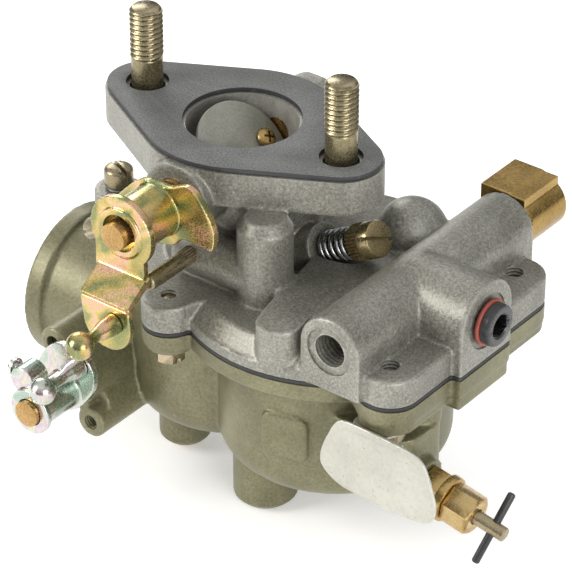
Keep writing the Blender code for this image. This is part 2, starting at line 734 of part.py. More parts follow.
def throttle():
    """The throttle shaft and what turns with it, half open."""
    axis = Vector((0, 0, THROTTLE_Z))
    shaft = along_y("throttle_shaft", SHAFT_R, axis, THROTTLE_END_Y, 28.4 * MM, copper(), sides=18)
    slot = block("shaft flat", (-15.2 * MM, -16 * MM, -0.95 * MM), (15.2 * MM, 16 * MM, 5 * MM))
    slot.matrix_world = Matrix.Translation(axis) @ Matrix.Rotation(THROTTLE_OPEN, 4, "Y")
    screws = [("front", -8 * MM), ("rear", 9.5 * MM)]
    normal = Vector((math.sin(THROTTLE_OPEN), 0, math.cos(THROTTLE_OPEN)))
    drilled = [
        rod(
            f"shaft {side} screw hole",
            1.9 * MM,
            axis + Y * y - normal * 6 * MM,
            axis + Y * y + normal * 6 * MM,
            sides=12,
        )
        for side, y in screws
    ]
    cut(shaft, slot, *drilled)
    plate = rod(
        "throttle_plate",
        BORE_R - 0.35 * MM,
        axis - normal * 0.65 * MM,
        axis + normal * 0.65 * MM,
        brass_plate(),
        sides=36,
    )
    cut(plate, *[
        rod(
            f"plate {side} hole",
            1.9 * MM,
            axis + Y * y - normal * 4 * MM,
            axis + Y * y + normal * 4 * MM,
            sides=12,
        )
        for side, y in screws
    ])
    for side, y in screws:
        profile = [(0, 2.9 * MM), (1.6 * MM, 2.8 * MM), (2.8 * MM, 2.0 * MM), (3.1 * MM, 0.95 * MM)]
        profile += [(1.55 * MM, 0.95 * MM), (1.55 * MM, -3.6 * MM), (0, -3.6 * MM)]
        turned(f"throttle_plate_screw_{side}", profile, axis + Y * y, normal, brass(), steps=12)
    throttle_lever(axis)


def brass_plate():
    return material("butterfly plate", (0.40, 0.39, 0.34), 0.45, 0.8)


def throttle_lever(axis):
    """The folded lever: a front ring, a hub tube, a rear stop sector, and a stepped arm."""
    front = (-52.8 * MM, -50.6 * MM)
    rear = (-37.6 * MM, -35.4 * MM)
    lever = along_y("throttle_lever", 10.6 * MM, axis, *front, zinc_gold(), sides=24)
    stud_spot = Vector((3.8, -61.3, -34.9)) * MM
    outward = Vector((-0.88, 0, -0.47)).normalized()
    clamp = axis + Y * -45.0 * MM + outward * (SHAFT_R + GAP)
    join(
        lever,
        along_y("lever collar", 7.6 * MM, axis, front[0] - 1.4 * MM, front[1], sides=18),
        along_y("hub tube", 7.8 * MM, axis, front[1] - 0.5 * MM, rear[0] + 0.5 * MM, sides=18),
        rod("clamp lug", 4.6 * MM, clamp - outward * 2 * MM, clamp + outward * 8.6 * MM, sides=12),
        stop_sector(axis, *rear),
        *stepped_arm(front),
    )
    cut(
        lever,
        along_y("lever eye", 5.6 * MM, axis, front[0] - 3 * MM, front[1] + 0.8 * MM, sides=18),
        along_y("lever hole", SHAFT_R + GAP, axis, front[0] - MM, rear[1] + MM, sides=18),
        along_y("stud eye", 2.5 * MM, stud_spot, -70 * MM, -50 * MM, sides=12),
        rod("clamp hole", 1.9 * MM, clamp, clamp + outward * 16 * MM, sides=12),
    )
    profile = [(0, 15.4 * MM), (2.6 * MM, 15.4 * MM), (3.3 * MM, 14.7 * MM), (3.3 * MM, 10.6 * MM)]
    profile += [
        (4.2 * MM, 10.4 * MM), (4.2 * MM, 9.0 * MM), (1.6 * MM, 8.9 * MM), (1.6 * MM, 0.4 * MM),
        (0, 0.4 * MM),
    ]
    screw = turned("throttle_clamp_screw", profile, clamp, outward, zinc_gold(), steps=14)
    slot = block("clamp slot", (-0.45 * MM, -6 * MM, 14.0 * MM), (0.45 * MM, 6 * MM, 17 * MM))
    cut(screw, aim(slot, clamp, outward))
    ball_stud("throttle_ball_stud", stud_spot, 13.7 * MM, zinc_gold())


def stepped_arm(front):
    """The arm below the ring: it leans forward, then hangs straight with a round end."""
    thickness = front[1] - front[0]
    top_z, bend_z = -24.6 * MM, -30.0 * MM
    step = 8.2 * MM
    upper = block("arm top", (-9.1 * MM, front[0], top_z), (7.7 * MM, front[1], THROTTLE_Z - 3 * MM))
    lean = flat_shape(
        "arm lean",
        [
            (front[0], top_z - 0.2 * MM),
            (front[1], top_z + 0.9 * MM),
            (front[1], top_z - 0.9 * MM),
            (front[1] - step, bend_z - 0.7 * MM),
            (front[0] - step, bend_z + 0.9 * MM),
            (front[0], top_z + 1.1 * MM),
        ],
        16.7 * MM,
    )
    lean.matrix_world = Matrix(((0, 0, 1, 0.1 * MM), (1, 0, 0, 0), (0, 1, 0, 0), (0, 0, 0, 1)))
    # The arm's foot, by x and height; it is a little to one side.
    low = -35.8 * MM
    foot = [(-8.0 * MM, bend_z), (8.9 * MM, bend_z), (9.4 * MM, low)]
    foot += arc(1.1 * MM, low, 8.3 * MM, -10, -170, 9)
    plate = flat_shape("arm foot", foot + [(-7.2 * MM, low)], thickness)
    middle_y = (front[0] + front[1]) / 2 - step
    plate.matrix_world = Matrix.Translation((0, middle_y, 0)) @ Matrix.Rotation(math.pi / 2, 4, "X")
    return upper, lean, plate


def ball_stud(name, root, length, look):
    """A ball on a flared stud, pointing towards -Y from the front face of its lever."""
    radius = 3.95 * MM
    neck = 1.9 * MM
    join_angle = math.degrees(math.acos(neck / radius))
    profile = [(0, length + radius - 0.5 * MM)]
    profile += arc(0, length, radius, 61, -join_angle, 8)
    profile += [(neck, 5.8 * MM), (2.5 * MM, 4.6 * MM), (3.1 * MM, 0), (2.2 * MM, 0)]
    profile += [(2.2 * MM, -3.0 * MM), (0, -3.0 * MM)]
    return turned(name, profile, root, -Y, look, steps=12)


def choke():
    """The choke shaft and what turns with it, open."""
    shaft = along_y("choke_shaft", SHAFT_R, CHOKE, CHOKE_END_Y, 23.4 * MM, copper(), sides=18)
    slot = block("choke slot", (-5 * MM, -20.2 * MM, -0.9 * MM), (5 * MM, 20.2 * MM, 0.9 * MM))
    slot.matrix_world = Matrix.Translation(CHOKE)
    spots = [("front", -9 * MM), ("rear", 9 * MM)]
    cut(shaft, slot, *[
        upright(
            f"choke {side} screw hole",
            1.9 * MM,
            CHOKE + Y * y,
            CHOKE.z - 6 * MM,
            CHOKE.z + 6 * MM,
            sides=12,
        )
        for side, y in spots
    ])
    plate = upright(
        "choke_plate", CHOKE_PLATE_R, CHOKE, CHOKE.z - 0.6 * MM, CHOKE.z + 0.6 * MM, brass_plate(), sides=36
    )
    cut(plate, *[
        upright(
            f"choke plate {side} hole",
            1.9 * MM,
            CHOKE + Y * y,
            CHOKE.z - 6 * MM,
            CHOKE.z + 6 * MM,
            sides=12,
        )
        for side, y in spots
    ])
    for side, y in spots:
        profile = [(0, 5.8 * MM), (2.4 * MM, 5.2 * MM), (2.8 * MM, 4.25 * MM), (1.55 * MM, 4.25 * MM)]
        profile += [(1.55 * MM, -3.6 * MM), (0, -3.6 * MM)]
        turned(f"choke_plate_screw_{side}", profile, CHOKE + Y * y, Z, brass(), steps=12)
    choke_lever()


def choke_lever():
    """A rounded plate by the boss, a hub, a clamp block and a front disc."""
    back = (-47.4 * MM, -45.2 * MM)
    front = (-62.6 * MM, -60.8 * MM)
    stud_spot = CHOKE + Vector((6.0, 0, 10.0)) * MM
    stud_spot.y = back[0] - GAP
    clamp_start = CHOKE + Vector((-3.6, -57.6, 9.0)) * MM
    # Points in mm from the shaft's centre, clockwise from the top.
    corners = [
        (1.0, 14.6), (5.0, 14.4), (8.6, 12.6), (10.8, 9.4), (10.6, 3.0), (7.4, -1.8), (3.8, -5.8),
        (0, -7.4),
    ]
    corners += [(-5.0, -6.0), (-8.2, -2.0), (-9.6, 3.0), (-9.0, 7.0), (-5.6, 11.8), (-2.6, 14.0)]
    lever = flat_shape(
        "choke_lever", [(x * MM, z * MM) for x, z in corners], back[1] - back[0], zinc_silver()
    )
    middle = Matrix.Translation((CHOKE.x, (back[0] + back[1]) / 2, CHOKE.z))
    lever.matrix_world = middle @ Matrix.Rotation(math.pi / 2, 4, "X")
    join(
        lever,
        along_y("choke hub", 5.8 * MM, CHOKE, front[1] - 0.4 * MM, back[0] + 0.4 * MM, sides=16),
        along_y("choke front disc", 7.0 * MM, CHOKE, *front, sides=18),
        along_y(
            "choke lug", 4.2 * MM, CHOKE + Vector((-3.8, 0, 8.0)) * MM, -60.9 * MM, -54.2 * MM, sides=12
        ),
        along_y(
            "choke lug root",
            4.0 * MM,
            CHOKE + Vector((-2.0, 0, 4.0)) * MM,
            -60.9 * MM,
            -54.2 * MM,
            sides=12,
        ),
    )
    cut(
        lever,
        along_y("choke hub hole", SHAFT_R + GAP, CHOKE, -70 * MM, -40 * MM, sides=18),
        along_y("choke stud eye", 2.5 * MM, stud_spot, -52 * MM, -44 * MM, sides=12),
        rod("choke clamp hole", 1.9 * MM, clamp_start, clamp_start - X * 12 * MM, sides=12),
    )
    profile = [(0, 6.9 * MM), (2.2 * MM, 6.7 * MM), (2.7 * MM, 6.0 * MM), (2.7 * MM, 4.9 * MM)]
    profile += [(1.6 * MM, 4.9 * MM), (1.6 * MM, 0.4 * MM), (0, 0.4 * MM)]
    turned("choke_clamp_screw", profile, clamp_start, -X, zinc_silver(), steps=12)
    ball_stud("choke_ball_stud", stud_spot, 15.4 * MM, zinc_silver())


def zinc_silver():
    return material("clear zinc plate", (0.66, 0.64, 0.60), 0.28, 1)


def stop_pin():
    along_y("stop_pin", STOP_PIN_R, STOP_PIN, -48 * MM, -18.4 * MM, steel(), sides=12)


def bushings():
    throttle_axis = Vector((0, 0, THROTTLE_Z))
    for side, near, far in (("front", -31.4 * MM, -22.3 * MM), ("rear", 23.3 * MM, 28.2 * MM)):
        bush = along_y(f"throttle_bushing_{side}", 5.7 * MM, throttle_axis, near, far, copper(), sides=14)
        cut(
            bush,
            along_y(f"{side} bush eye", SHAFT_R + 0.2 * MM, throttle_axis, near - MM, far + MM, sides=18),
        )


def idle_screw():
    """Head outward, with a screwdriver slot, a stem and a tapered tip; its spring sits on the boss."""
    head = IDLE_HEAD_END - IDLE_HEAD_LENGTH
    edge = 0.5 * MM
    profile = [
        (0, IDLE_HEAD_END),
        (IDLE_HEAD_R - edge, IDLE_HEAD_END),
        (IDLE_HEAD_R, IDLE_HEAD_END - edge),
        (IDLE_HEAD_R, head),
        (IDLE_STEM_R, head),
        (IDLE_STEM_R, -12 * MM),
        (0.4 * MM, -17 * MM),
        (0, -17 * MM),
    ]
    screw = turned("idle_mixture_screw", profile, IDLE_FACE, IDLE_AXIS, brass(), steps=18)
    slot = block(
        "idle slot", (-0.5 * MM, -6 * MM, IDLE_HEAD_END - 1.6 * MM), (0.5 * MM, 6 * MM, IDLE_HEAD_END + MM)
    )
    aim(slot, IDLE_FACE, IDLE_AXIS)
    cut(screw, slot)
    turns, per_turn = 4.5, 10
    clear = SPRING_WIRE_R + GAP
    length = head - 2 * clear
    count = int(turns * per_turn)
    frame = Matrix.Translation(IDLE_FACE) @ IDLE_AXIS.to_track_quat("Z", "Y").to_matrix().to_4x4()
    points = []
    for i in range(count + 1):
        angle = 2 * math.pi * i / per_turn
        spot = (SPRING_R * math.cos(angle), SPRING_R * math.sin(angle), clear + length * i / count)
        points.append(frame @ Vector(spot))
    wire("idle_spring", points, SPRING_WIRE_R, steel())


def hexagon(name, across_flats, start, end, look=None):
    return rod(name, across_flats / math.sqrt(3), start, end, look, sides=6)


def body_screws():
    """The left screw is a slotted fillister from above; the others are slotted hex heads from below."""
    head_low, head_high = EAR_TOP_Z - 2.6 * MM + 1.3 * MM, -32.6 * MM
    profile = [
        (0, head_high + 0.4 * MM),
        (3.2 * MM, head_high),
        (4.3 * MM, head_high - 0.9 * MM),
        (4.3 * MM, head_low),
        (EAR_SCREW_R, head_low),
        (EAR_SCREW_R, -51 * MM),
        (0, -51 * MM),
    ]
    left = turned("body_screw_left", profile, LEFT_EAR, Z, zinc_gold(), steps=14)
    slot = block("left screw slot", (-6 * MM, -0.6 * MM, head_high - 1.9 * MM), (6 * MM, 0.6 * MM, -30 * MM))
    slot.matrix_world = Matrix.Translation(LEFT_EAR) @ Matrix.Rotation(math.radians(-23), 4, "Z")
    cut(left, slot)
    washer("lock_washer_left", LEFT_EAR, head_low - 1.0 * MM, head_low - GAP, 4.0 * MM)
    seats = (
        ("front", FRONT_EAR, RIM_BOTTOM_Z - 1.5 * MM, EAR_TOP_Z - 1.0 * MM),
        ("rear", mirrored(FRONT_EAR), RIM_BOTTOM_Z - 1.5 * MM, EAR_TOP_Z - 1.0 * MM),
        ("right_front", RIGHT_EAR, RIGHT_FOOT_Z - 1.3 * MM, -40.5 * MM),
        ("right_rear", mirrored(RIGHT_EAR), RIGHT_FOOT_Z, -40.5 * MM),
    )
    for side, ear, seat, tip in seats:
        washer(f"lock_washer_{side}", ear, seat - GAP - 0.8 * MM, seat - GAP, 4.2 * MM)
        top = seat - 2 * GAP - 0.8 * MM
        screw = hexagon(f"body_screw_{side}", 7.6 * MM, at(ear, top - 3.4 * MM), at(ear, top), zinc_gold())
        join(screw, upright(f"{side} screw shank", EAR_SCREW_R, ear, top - 2 * MM, tip, sides=12))
        low = top - 4 * MM
        slot = block(f"{side} screw slot", (-6 * MM, -0.6 * MM, low), (6 * MM, 0.6 * MM, low + 2 * MM))
        slot.matrix_world = Matrix.Translation(xyz(ear))
        cut(screw, slot)


def xyz(point):
    return (point.x, point.y, 0)


def washer(name, centre, low, high, radius):
    made = upright(name, radius, centre, low, high, steel(), sides=14)
    eye = upright(f"{name} eye", EAR_SCREW_R + 0.25 * MM, centre, low - MM, high + MM, sides=12)
    cut(made, eye)
    return made


def fuel_inlet():
    """The brass elbow behind the fuel tunnel, with its port on the left."""
    near, far = ELBOW_Y
    middle = (near + far) / 2
    centre = Vector((TUNNEL_X, 0, TUNNEL_Z))
    elbow = along_y(
        "fuel_inlet_elbow", 8.2 * MM, centre + Vector((0.6, 0, 0)) * MM, near, far, brass(), sides=28
    )
    high = centre.z + 9.4 * MM
    corner = block(
        "elbow block", (centre.x - 9.4 * MM, near, centre.z - 8.2 * MM), (centre.x + 0.6 * MM, far, high)
    )
    crown = block(
        "elbow crown", (centre.x - 0.4 * MM, near, centre.z), (centre.x + 5.6 * MM, far, high - 0.4 * MM)
    )
    shank = along_y("elbow shank", 6.1 * MM, centre, 29 * MM, near + MM, sides=14)
    collar = along_y("elbow collar", 7.6 * MM, centre, TUNNEL_Y[1] + GAP, near + MM, sides=18)
    join(elbow, corner, crown, shank, collar)
    cut(
        elbow,
        along_y("elbow passage", 3 * MM, centre, 28 * MM, middle, sides=12),
        rod(
            "elbow port",
            5.0 * MM,
            Vector((centre.x - 11 * MM, middle, centre.z)),
            Vector((centre.x - 1 * MM, middle, centre.z)),
        ),
        rod(
            "elbow drilling",
            3 * MM,
            Vector((centre.x - 2 * MM, middle, centre.z)),
            Vector((centre.x + 2 * MM, middle, centre.z)),
            sides=12,
        ),
    )


def inlet_plug():
    face = Vector((RIGHT_FACE_X, PLUG_Y, PLUG_Z))
    seal = rod("inlet_plug_seal", 6.8 * MM, face + X * GAP, face + X * 1.4 * MM, red_seal(), sides=22)
    cut(seal, rod("seal eye", 5.2 * MM, face - X * MM, face + X * 3 * MM, sides=18))
    profile = [
        (0, 4.4 * MM),
        (5.4 * MM, 4.4 * MM),
        (6.1 * MM, 3.7 * MM),
        (6.1 * MM, 1.7 * MM),
        (4.9 * MM, 1.7 * MM),
        (4.9 * MM, -9 * MM),
        (0, -9 * MM),
    ]
    plug = turned("inlet_plug", profile, face, X, black_oxide(), steps=22)
    cut(plug, hexagon("socket", 6.4 * MM, face - X * 0.5 * MM, face + X * 6 * MM))


def inlet_valve():
    seat_top, seat_low = -34.2 * MM, -41.0 * MM
    spot = Vector((VALVE_X, 0, 0))
    seat = upright("inlet_valve_seat", 3.9 * MM, spot, seat_low, seat_top, brass(), sides=12)
    cut(
        seat,
        upright("needle guide", 2.3 * MM, spot, seat_low - MM, seat_top - 1.6 * MM, sides=12),
        upright("seat orifice", 1.1 * MM, spot, seat_top - 2 * MM, seat_top + MM, sides=12),
    )
    profile = [(0, 7.6 * MM), (0.5 * MM, 7.5 * MM), (2.0 * MM, 5.0 * MM), (2.0 * MM, 0), (0, 0)]
    turned("inlet_needle", profile, at(spot, seat_low - 4.0 * MM), Z, steel(), steps=12)


def float_assembly():
    """A horseshoe float around the throat wall, on a lever that hangs from its hinge pin."""
    drop = Matrix.Translation(HINGE) @ Matrix.Rotation(-FLOAT_DROP, 4, "Y") @ Matrix.Translation(-HINGE)
    outline = arc(BOWL_X - 0.5 * MM, 0, 26.5 * MM, -128, 128, 18) + arc(MM, 0, 22.8 * MM, 58, -58, 8)
    made = flat_shape("float", outline, 14.5 * MM, brass())
    made.matrix_world = Matrix.Translation((0, 0, -64.75 * MM))
    made.matrix_world = drop @ made.matrix_world
    lever = block(
        "float_lever",
        (VALVE_X - 4 * MM, -6 * MM, -49.5 * MM),
        (HINGE.x + 2 * MM, 6 * MM, -48.3 * MM),
        brass(),
    )
    post = block(
        "lever post", (VALVE_X - 4 * MM, -4 * MM, -57.2 * MM), (VALVE_X - 2.6 * MM, 4 * MM, -49 * MM)
    )
    knuckle = along_y("hinge knuckle", 2.4 * MM, HINGE, -6 * MM, 6 * MM, sides=12)
    join(lever, post, knuckle)
    cut(lever, along_y("hinge eye", 1.2 * MM, HINGE, -8 * MM, 8 * MM, sides=12))
    lever.matrix_world = drop @ lever.matrix_world
    along_y("float_hinge_pin", 0.9 * MM, HINGE, -11 * MM, 11 * MM, steel(), sides=12)


def air_path():
    """The venturi in the throat, and the main discharge nozzle that stands in it."""
    top = BOWL_TOP_Z - GAP
    length = 20 * MM
    waist = top - length / 2
    ring = upright("venturi", 14.9 * MM, Vector(), top - length, top, cast_grey(), sides=28)
    cut(
        ring,
        upright(
            "venturi inlet", 14.0 * MM, Vector(), top - length - MM, waist, sides=28, top_radius=11.4 * MM
        ),
        upright(
            "venturi outlet",
            11.4 * MM,
            Vector(),
            waist - 0.1 * MM,
            top + MM,
            sides=28,
            top_radius=13.6 * MM,
        ),
    )
    nozzle = upright(
        "main_discharge_nozzle", 3.2 * MM, Vector(), -91.2 * MM, top - 9 * MM, brass(), sides=12
    )
    cut(nozzle, upright("nozzle bore", 1.6 * MM, Vector(), -86 * MM, top, sides=12))
    jet_base = FRONT_WELL[0]
    plug = upright(
        "well_plug_front", 5.2 * MM, jet_base, FRONT_WELL[2] + 0.4 * MM, -104 * MM, brass(), sides=12
    )
    cut(
        plug,
        hexagon(
            "well plug socket",
            5.0 * MM,
            at(jet_base, FRONT_WELL[2] - MM),
            at(jet_base, FRONT_WELL[2] + 3 * MM),
        ),
    )
    rear_base = REAR_WELL[0]
    upright(
        "well_plug_rear",
        4.2 * MM,
        rear_base,
        REAR_WELL[2] + 0.4 * MM,
        REAR_WELL[2] + 4 * MM,
        brass(),
        sides=12,
    )
    jet = upright("main_jet", 2.6 * MM, jet_base, -103.4 * MM, -97 * MM, brass(), sides=12)
    cut(jet, upright("main jet bore", 0.9 * MM, jet_base, -106 * MM, -95 * MM, sides=10))
    idle_spot = Vector((14.5, 13.0, 0)) * MM
    upright("idle_jet", 1.9 * MM, idle_spot, -43.4 * MM, -37 * MM, brass(), sides=14)


def main_needle():
    """Housing in the jet boss, a packing nut, and the needle with its T-bar."""
    end = NEEDLE_END
    housing_back, housing_front, nut_front = (end - NEEDLE_AXIS * d * MM for d in (26.6, 18.4, 9.6))
    housing = hexagon(
        "needle_valve_housing", 11.8 * MM, housing_back, end - NEEDLE_AXIS * 20.6 * MM, brass()
    )
    collar = rod("housing collar", 5.4 * MM, end - NEEDLE_AXIS * 21.5 * MM, housing_front, sides=14)
    thread = rod(
        "housing thread", 4.9 * MM, end - NEEDLE_AXIS * 34 * MM, end - NEEDLE_AXIS * 25 * MM, sides=14
    )
    join(housing, collar, thread)
    nut = hexagon("packing_nut", 10.4 * MM, housing_front + NEEDLE_AXIS * GAP, nut_front, brass())
    eye = rod("needle eye", NEEDLE_R + GAP, end - NEEDLE_AXIS * 40 * MM, end, sides=12)
    cut(housing, eye)
    cut(nut, rod("nut eye", NEEDLE_R + GAP, end - NEEDLE_AXIS * 40 * MM, end, sides=12))
    profile = [
        (0, 0), (NEEDLE_R - 0.3 * MM, 0), (NEEDLE_R, -0.3 * MM), (NEEDLE_R, -33 * MM),
        (0.6 * MM, -39 * MM), (0, -39 * MM),
    ]
    stem = turned("main_adjusting_needle", profile, end, NEEDLE_AXIS, brass(), steps=12)
    middle = end - NEEDLE_AXIS * 3.9 * MM
    bar = Vector((0.16, 0.545, 0.823)).normalized()
    bar = (bar - NEEDLE_AXIS * bar.dot(NEEDLE_AXIS)).normalized()
    reach = 10.9 * MM
    cut(stem, rod("bar hole", 1.2 * MM + 0.15 * MM, middle - bar * 5 * MM, middle + bar * 5 * MM, sides=12))
    rod("needle_t_bar", 1.15 * MM, middle - bar * reach, middle + bar * reach, black_oxide(), sides=12)


def tag():
    """A blank aluminium tag held by the right front screw, hanging from a rolled upper edge."""
    top, low = RIGHT_FOOT_Z - GAP, RIGHT_FOOT_Z - 1.2 * MM
    front_y = RIGHT_EAR.y - RIGHT_EAR_R - 1.6 * MM
    ear = hull(
        "id_tag",
        [(xy(RIGHT_EAR), 6.6 * MM), ((RIGHT_EAR.x - 1.5 * MM, front_y + 6.8 * MM), 6.6 * MM)],
        low,
        top,
        tag_aluminium(),
    )
    # Corners of the sheet, from the roll's left end, clockwise; x, and z below the roll.
    corners = [(61.7, 1.3), (66.2, 2.0), (78.0, 1.6), (86.5, 1.0), (90.6, -0.6), (92.6, -5.0), (94.6, -10.5)]
    corners += [(95.2, -14.5), (94.2, -18.4), (91.0, -20.2), (66.5, -20.4), (61.6, -19.0), (57.6, -15.8)]
    corners += [(56.6, -12.6), (57.6, -8.0)]
    sheet = flat_shape("tag sheet", [(x * MM, z * MM) for x, z in corners], 0.9 * MM)
    sheet.matrix_world = Matrix.Translation(
        (1.2 * MM, front_y, low + 1.8 * MM)
    ) @ Matrix.Rotation(math.radians(88), 4, "X")
    roll_ends = [Vector((x * MM, front_y + 0.5 * MM, low + 1.9 * MM)) for x in (66.0, 84.0)]
    join(ear, sheet, rod("tag roll", 1.15 * MM, *roll_ends, sides=14))
    cut(ear, upright("tag eye", EAR_SCREW_R + 0.25 * MM, RIGHT_EAR, -60 * MM, -50 * MM, sides=12))


def pivot(name, spot, *pieces):
    """An empty on a joint's axis, which carries the pieces that move with the joint."""
    empty = bpy.data.objects.new(name, None)
    empty.location = spot
    bpy.data.collections[PARTS].objects.link(empty)
    bpy.context.view_layer.update()
    for piece in pieces:
        child = bpy.data.objects[piece]
        child.parent = empty
        child.matrix_parent_inverse = empty.matrix_world.inverted()


def pivots():
    pivot(
        "throttle pivot",
        Vector((0, 0, THROTTLE_Z)),
        "throttle_shaft",
        "throttle_plate",
        "throttle_plate_screw_front",
        "throttle_plate_screw_rear",
        "throttle_lever",
        "throttle_clamp_screw",
        "throttle_ball_stud",
    )
    pivot(
        "choke pivot",
        CHOKE,
        "choke_shaft",
        "choke_plate",
        "choke_plate_screw_front",
        "choke_plate_screw_rear",
        "choke_lever",
        "choke_clamp_screw",
        "choke_ball_stud",
    )
    pivot("idle screw pivot", IDLE_FACE, "idle_mixture_screw")
    pivot("needle pivot", NEEDLE_END, "main_adjusting_needle", "needle_t_bar")
    pivot("float pivot", HINGE, "float", "float_lever")
    pivot("valve slide", Vector((VALVE_X, 0, HINGE.z)), "inlet_needle")


def build():
    clear_scene()
    throttle_body()
    fuel_bowl()
    gaskets()
    studs()
    throttle()
    choke()
    stop_pin()
    bushings()
    idle_screw()
    body_screws()
    fuel_inlet()
    inlet_plug()
    inlet_valve()
    float_assembly()
    air_path()
    main_needle()
    tag()
    bpy.context.view_layer.update()
    pivots()
    bpy.context.view_layer.update()


build()
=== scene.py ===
# %% [markdown]
# An updraft carburettor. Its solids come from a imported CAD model, which is the fixed frame: it says where
# each part is and what it moves with. This script gives the parts their cast, turned, stamped and plated
# surfaces. Loading the frame comes first, so that each new piece can take its place from it.
# %% Load the frame
import json
import math

import bmesh
import bpy
from mathutils import Matrix, Vector

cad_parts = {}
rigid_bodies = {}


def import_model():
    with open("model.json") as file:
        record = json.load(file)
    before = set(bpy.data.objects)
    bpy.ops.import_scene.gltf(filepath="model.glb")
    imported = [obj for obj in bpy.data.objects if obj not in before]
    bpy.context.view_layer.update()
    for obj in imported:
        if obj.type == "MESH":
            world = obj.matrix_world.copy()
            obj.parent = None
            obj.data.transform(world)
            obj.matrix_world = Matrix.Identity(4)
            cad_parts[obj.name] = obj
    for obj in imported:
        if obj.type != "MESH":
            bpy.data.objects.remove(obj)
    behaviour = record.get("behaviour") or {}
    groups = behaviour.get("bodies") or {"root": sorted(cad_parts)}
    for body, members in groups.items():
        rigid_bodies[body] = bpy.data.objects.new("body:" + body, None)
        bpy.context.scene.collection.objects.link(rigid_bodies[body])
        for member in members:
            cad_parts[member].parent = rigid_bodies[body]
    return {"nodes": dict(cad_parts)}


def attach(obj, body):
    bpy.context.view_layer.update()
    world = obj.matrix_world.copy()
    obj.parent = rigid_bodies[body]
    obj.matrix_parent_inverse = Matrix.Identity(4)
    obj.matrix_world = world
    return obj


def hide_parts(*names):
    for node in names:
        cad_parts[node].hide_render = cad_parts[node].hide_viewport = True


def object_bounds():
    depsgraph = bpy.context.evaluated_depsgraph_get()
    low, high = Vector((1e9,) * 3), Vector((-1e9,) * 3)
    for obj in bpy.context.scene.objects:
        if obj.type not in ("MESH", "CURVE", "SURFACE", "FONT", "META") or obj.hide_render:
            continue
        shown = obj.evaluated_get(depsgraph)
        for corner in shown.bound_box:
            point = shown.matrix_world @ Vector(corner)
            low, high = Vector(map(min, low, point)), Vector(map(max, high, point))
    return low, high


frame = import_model()
cad_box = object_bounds()
nodes = frame["nodes"]

# %% [markdown]
# Every length below is written in millimetres, as on a drawing, and MM turns it into Blender's metres.
# The frame has its origin in the middle of the manifold gasket, Z up, X towards the fuel inlet and Y
# along the two shafts. Places that several pieces share are named once: the shafts, the ears that the
# screws go through, the tunnel that the fuel runs along, and the axes of the two tilted screws.
# %% Units, axes and the main stations
def tilted(degrees):
    """The direction that rises by an angle from X."""
    return Vector((math.cos(math.radians(degrees)), 0, math.sin(math.radians(degrees))))


MM = 0.001
X, Y, Z = Vector((1, 0, 0)), Vector((0, 1, 0)), Vector((0, 0, 1))
ORIGIN = Vector((0, 0, 0))
PARTING, BOWL_TOP, HORN_Z = -45.0, -46.6, -77
BOWL = Vector((33, 0, 0))
THROTTLE = Vector((0, 0, -11.6))
CHOKE = Vector((-27.5, 0, -76.7))
FRONT_EAR, REAR_EAR = Vector((4.2, -38.2, 0)), Vector((4.2, 38.2, 0))
RIGHT_EAR, FAR_EAR = Vector((72.8, -29, 0)), Vector((72.8, 29, 0))
LEFT_EAR = Vector((-46, 0, 0))
EARS = (FRONT_EAR, REAR_EAR, RIGHT_EAR, FAR_EAR, LEFT_EAR)
STUD_REACH = 34.15
STUDS = {"left": Vector((-STUD_REACH, 0, 0)), "right": Vector((STUD_REACH, 0, 0))}
TUNNEL = Vector((60.5, 0, -32))
PLUG_FACE = Vector((84.5, -1, -32.8))
STOP_PIN = Vector((4.6, 0, -28.6))
BRACKET = Vector((6.5, 0, -10.9))
FRONT_WELL, REAR_WELL = Vector((19.5, -15, 0)), Vector((-16, -8, 0))
IDLE_AXIS, IDLE_FACE = tilted(29), Vector((29.6, 0, -31.3))
NEEDLE_AXIS, NEEDLE_END = tilted(-11), Vector((106.2, -21, -82.8))
JET = NEEDLE_END - NEEDLE_AXIS * 27
print("flange to parting line:", -PARTING, "mm")

# %% [markdown]
# Turned and drilled shapes are cylinders and cones, so the first helpers make those between two points.
# A primitive from bmesh is built upright at the origin, then moved so that its Z points along the part's
# axis. Doing the move in the mesh keeps each object at the origin, like the frame's own objects.
# %% Helpers that make closed shapes
def keep(name, bm):
    """Writes a bmesh, in millimetres, to an object in metres."""
    bmesh.ops.recalc_face_normals(bm, faces=bm.faces)
    bmesh.ops.scale(bm, vec=(MM, MM, MM), verts=bm.verts)
    mesh = bpy.data.meshes.new(name)
    bm.to_mesh(mesh)
    bm.free()
    made = bpy.data.objects.new(name, mesh)
    bpy.context.scene.collection.objects.link(made)
    return made


def turn_to(start, direction):
    return Matrix.Translation(start) @ direction.to_track_quat("Z", "Y").to_matrix().to_4x4()


def rod(start, end, radius, end_radius=None, sides=64):
    """A cylinder, or a cone where the end radius differs."""
    start, end = Vector(start), Vector(end)
    bm = bmesh.new()
    tip = radius if end_radius is None else end_radius
    length = (end - start).length
    middle = turn_to(start, end - start) @ Matrix.Translation((0, 0, length / 2))
    bmesh.ops.create_cone(
        bm, cap_ends=True, segments=sides, radius1=radius, radius2=tip, depth=length, matrix=middle
    )
    return keep("rod", bm)


def upright(spot, low, high, radius, top_radius=None, sides=64):
    return rod((spot.x, spot.y, low), (spot.x, spot.y, high), radius, top_radius, sides)


def along_y(spot, near, far, radius, sides=64):
    return rod((spot.x, near, spot.z), (spot.x, far, spot.z), radius, None, sides)


def block(low, high, turn=None):
    low, high = Vector(low), Vector(high)
    bm = bmesh.new()
    bmesh.ops.create_cube(bm, size=1)
    bmesh.ops.scale(bm, vec=high - low, verts=bm.verts)
    bmesh.ops.translate(bm, vec=(low + high) / 2, verts=bm.verts)
    if turn is not None:
        bmesh.ops.transform(bm, matrix=turn, verts=bm.verts)
    return keep("block", bm)


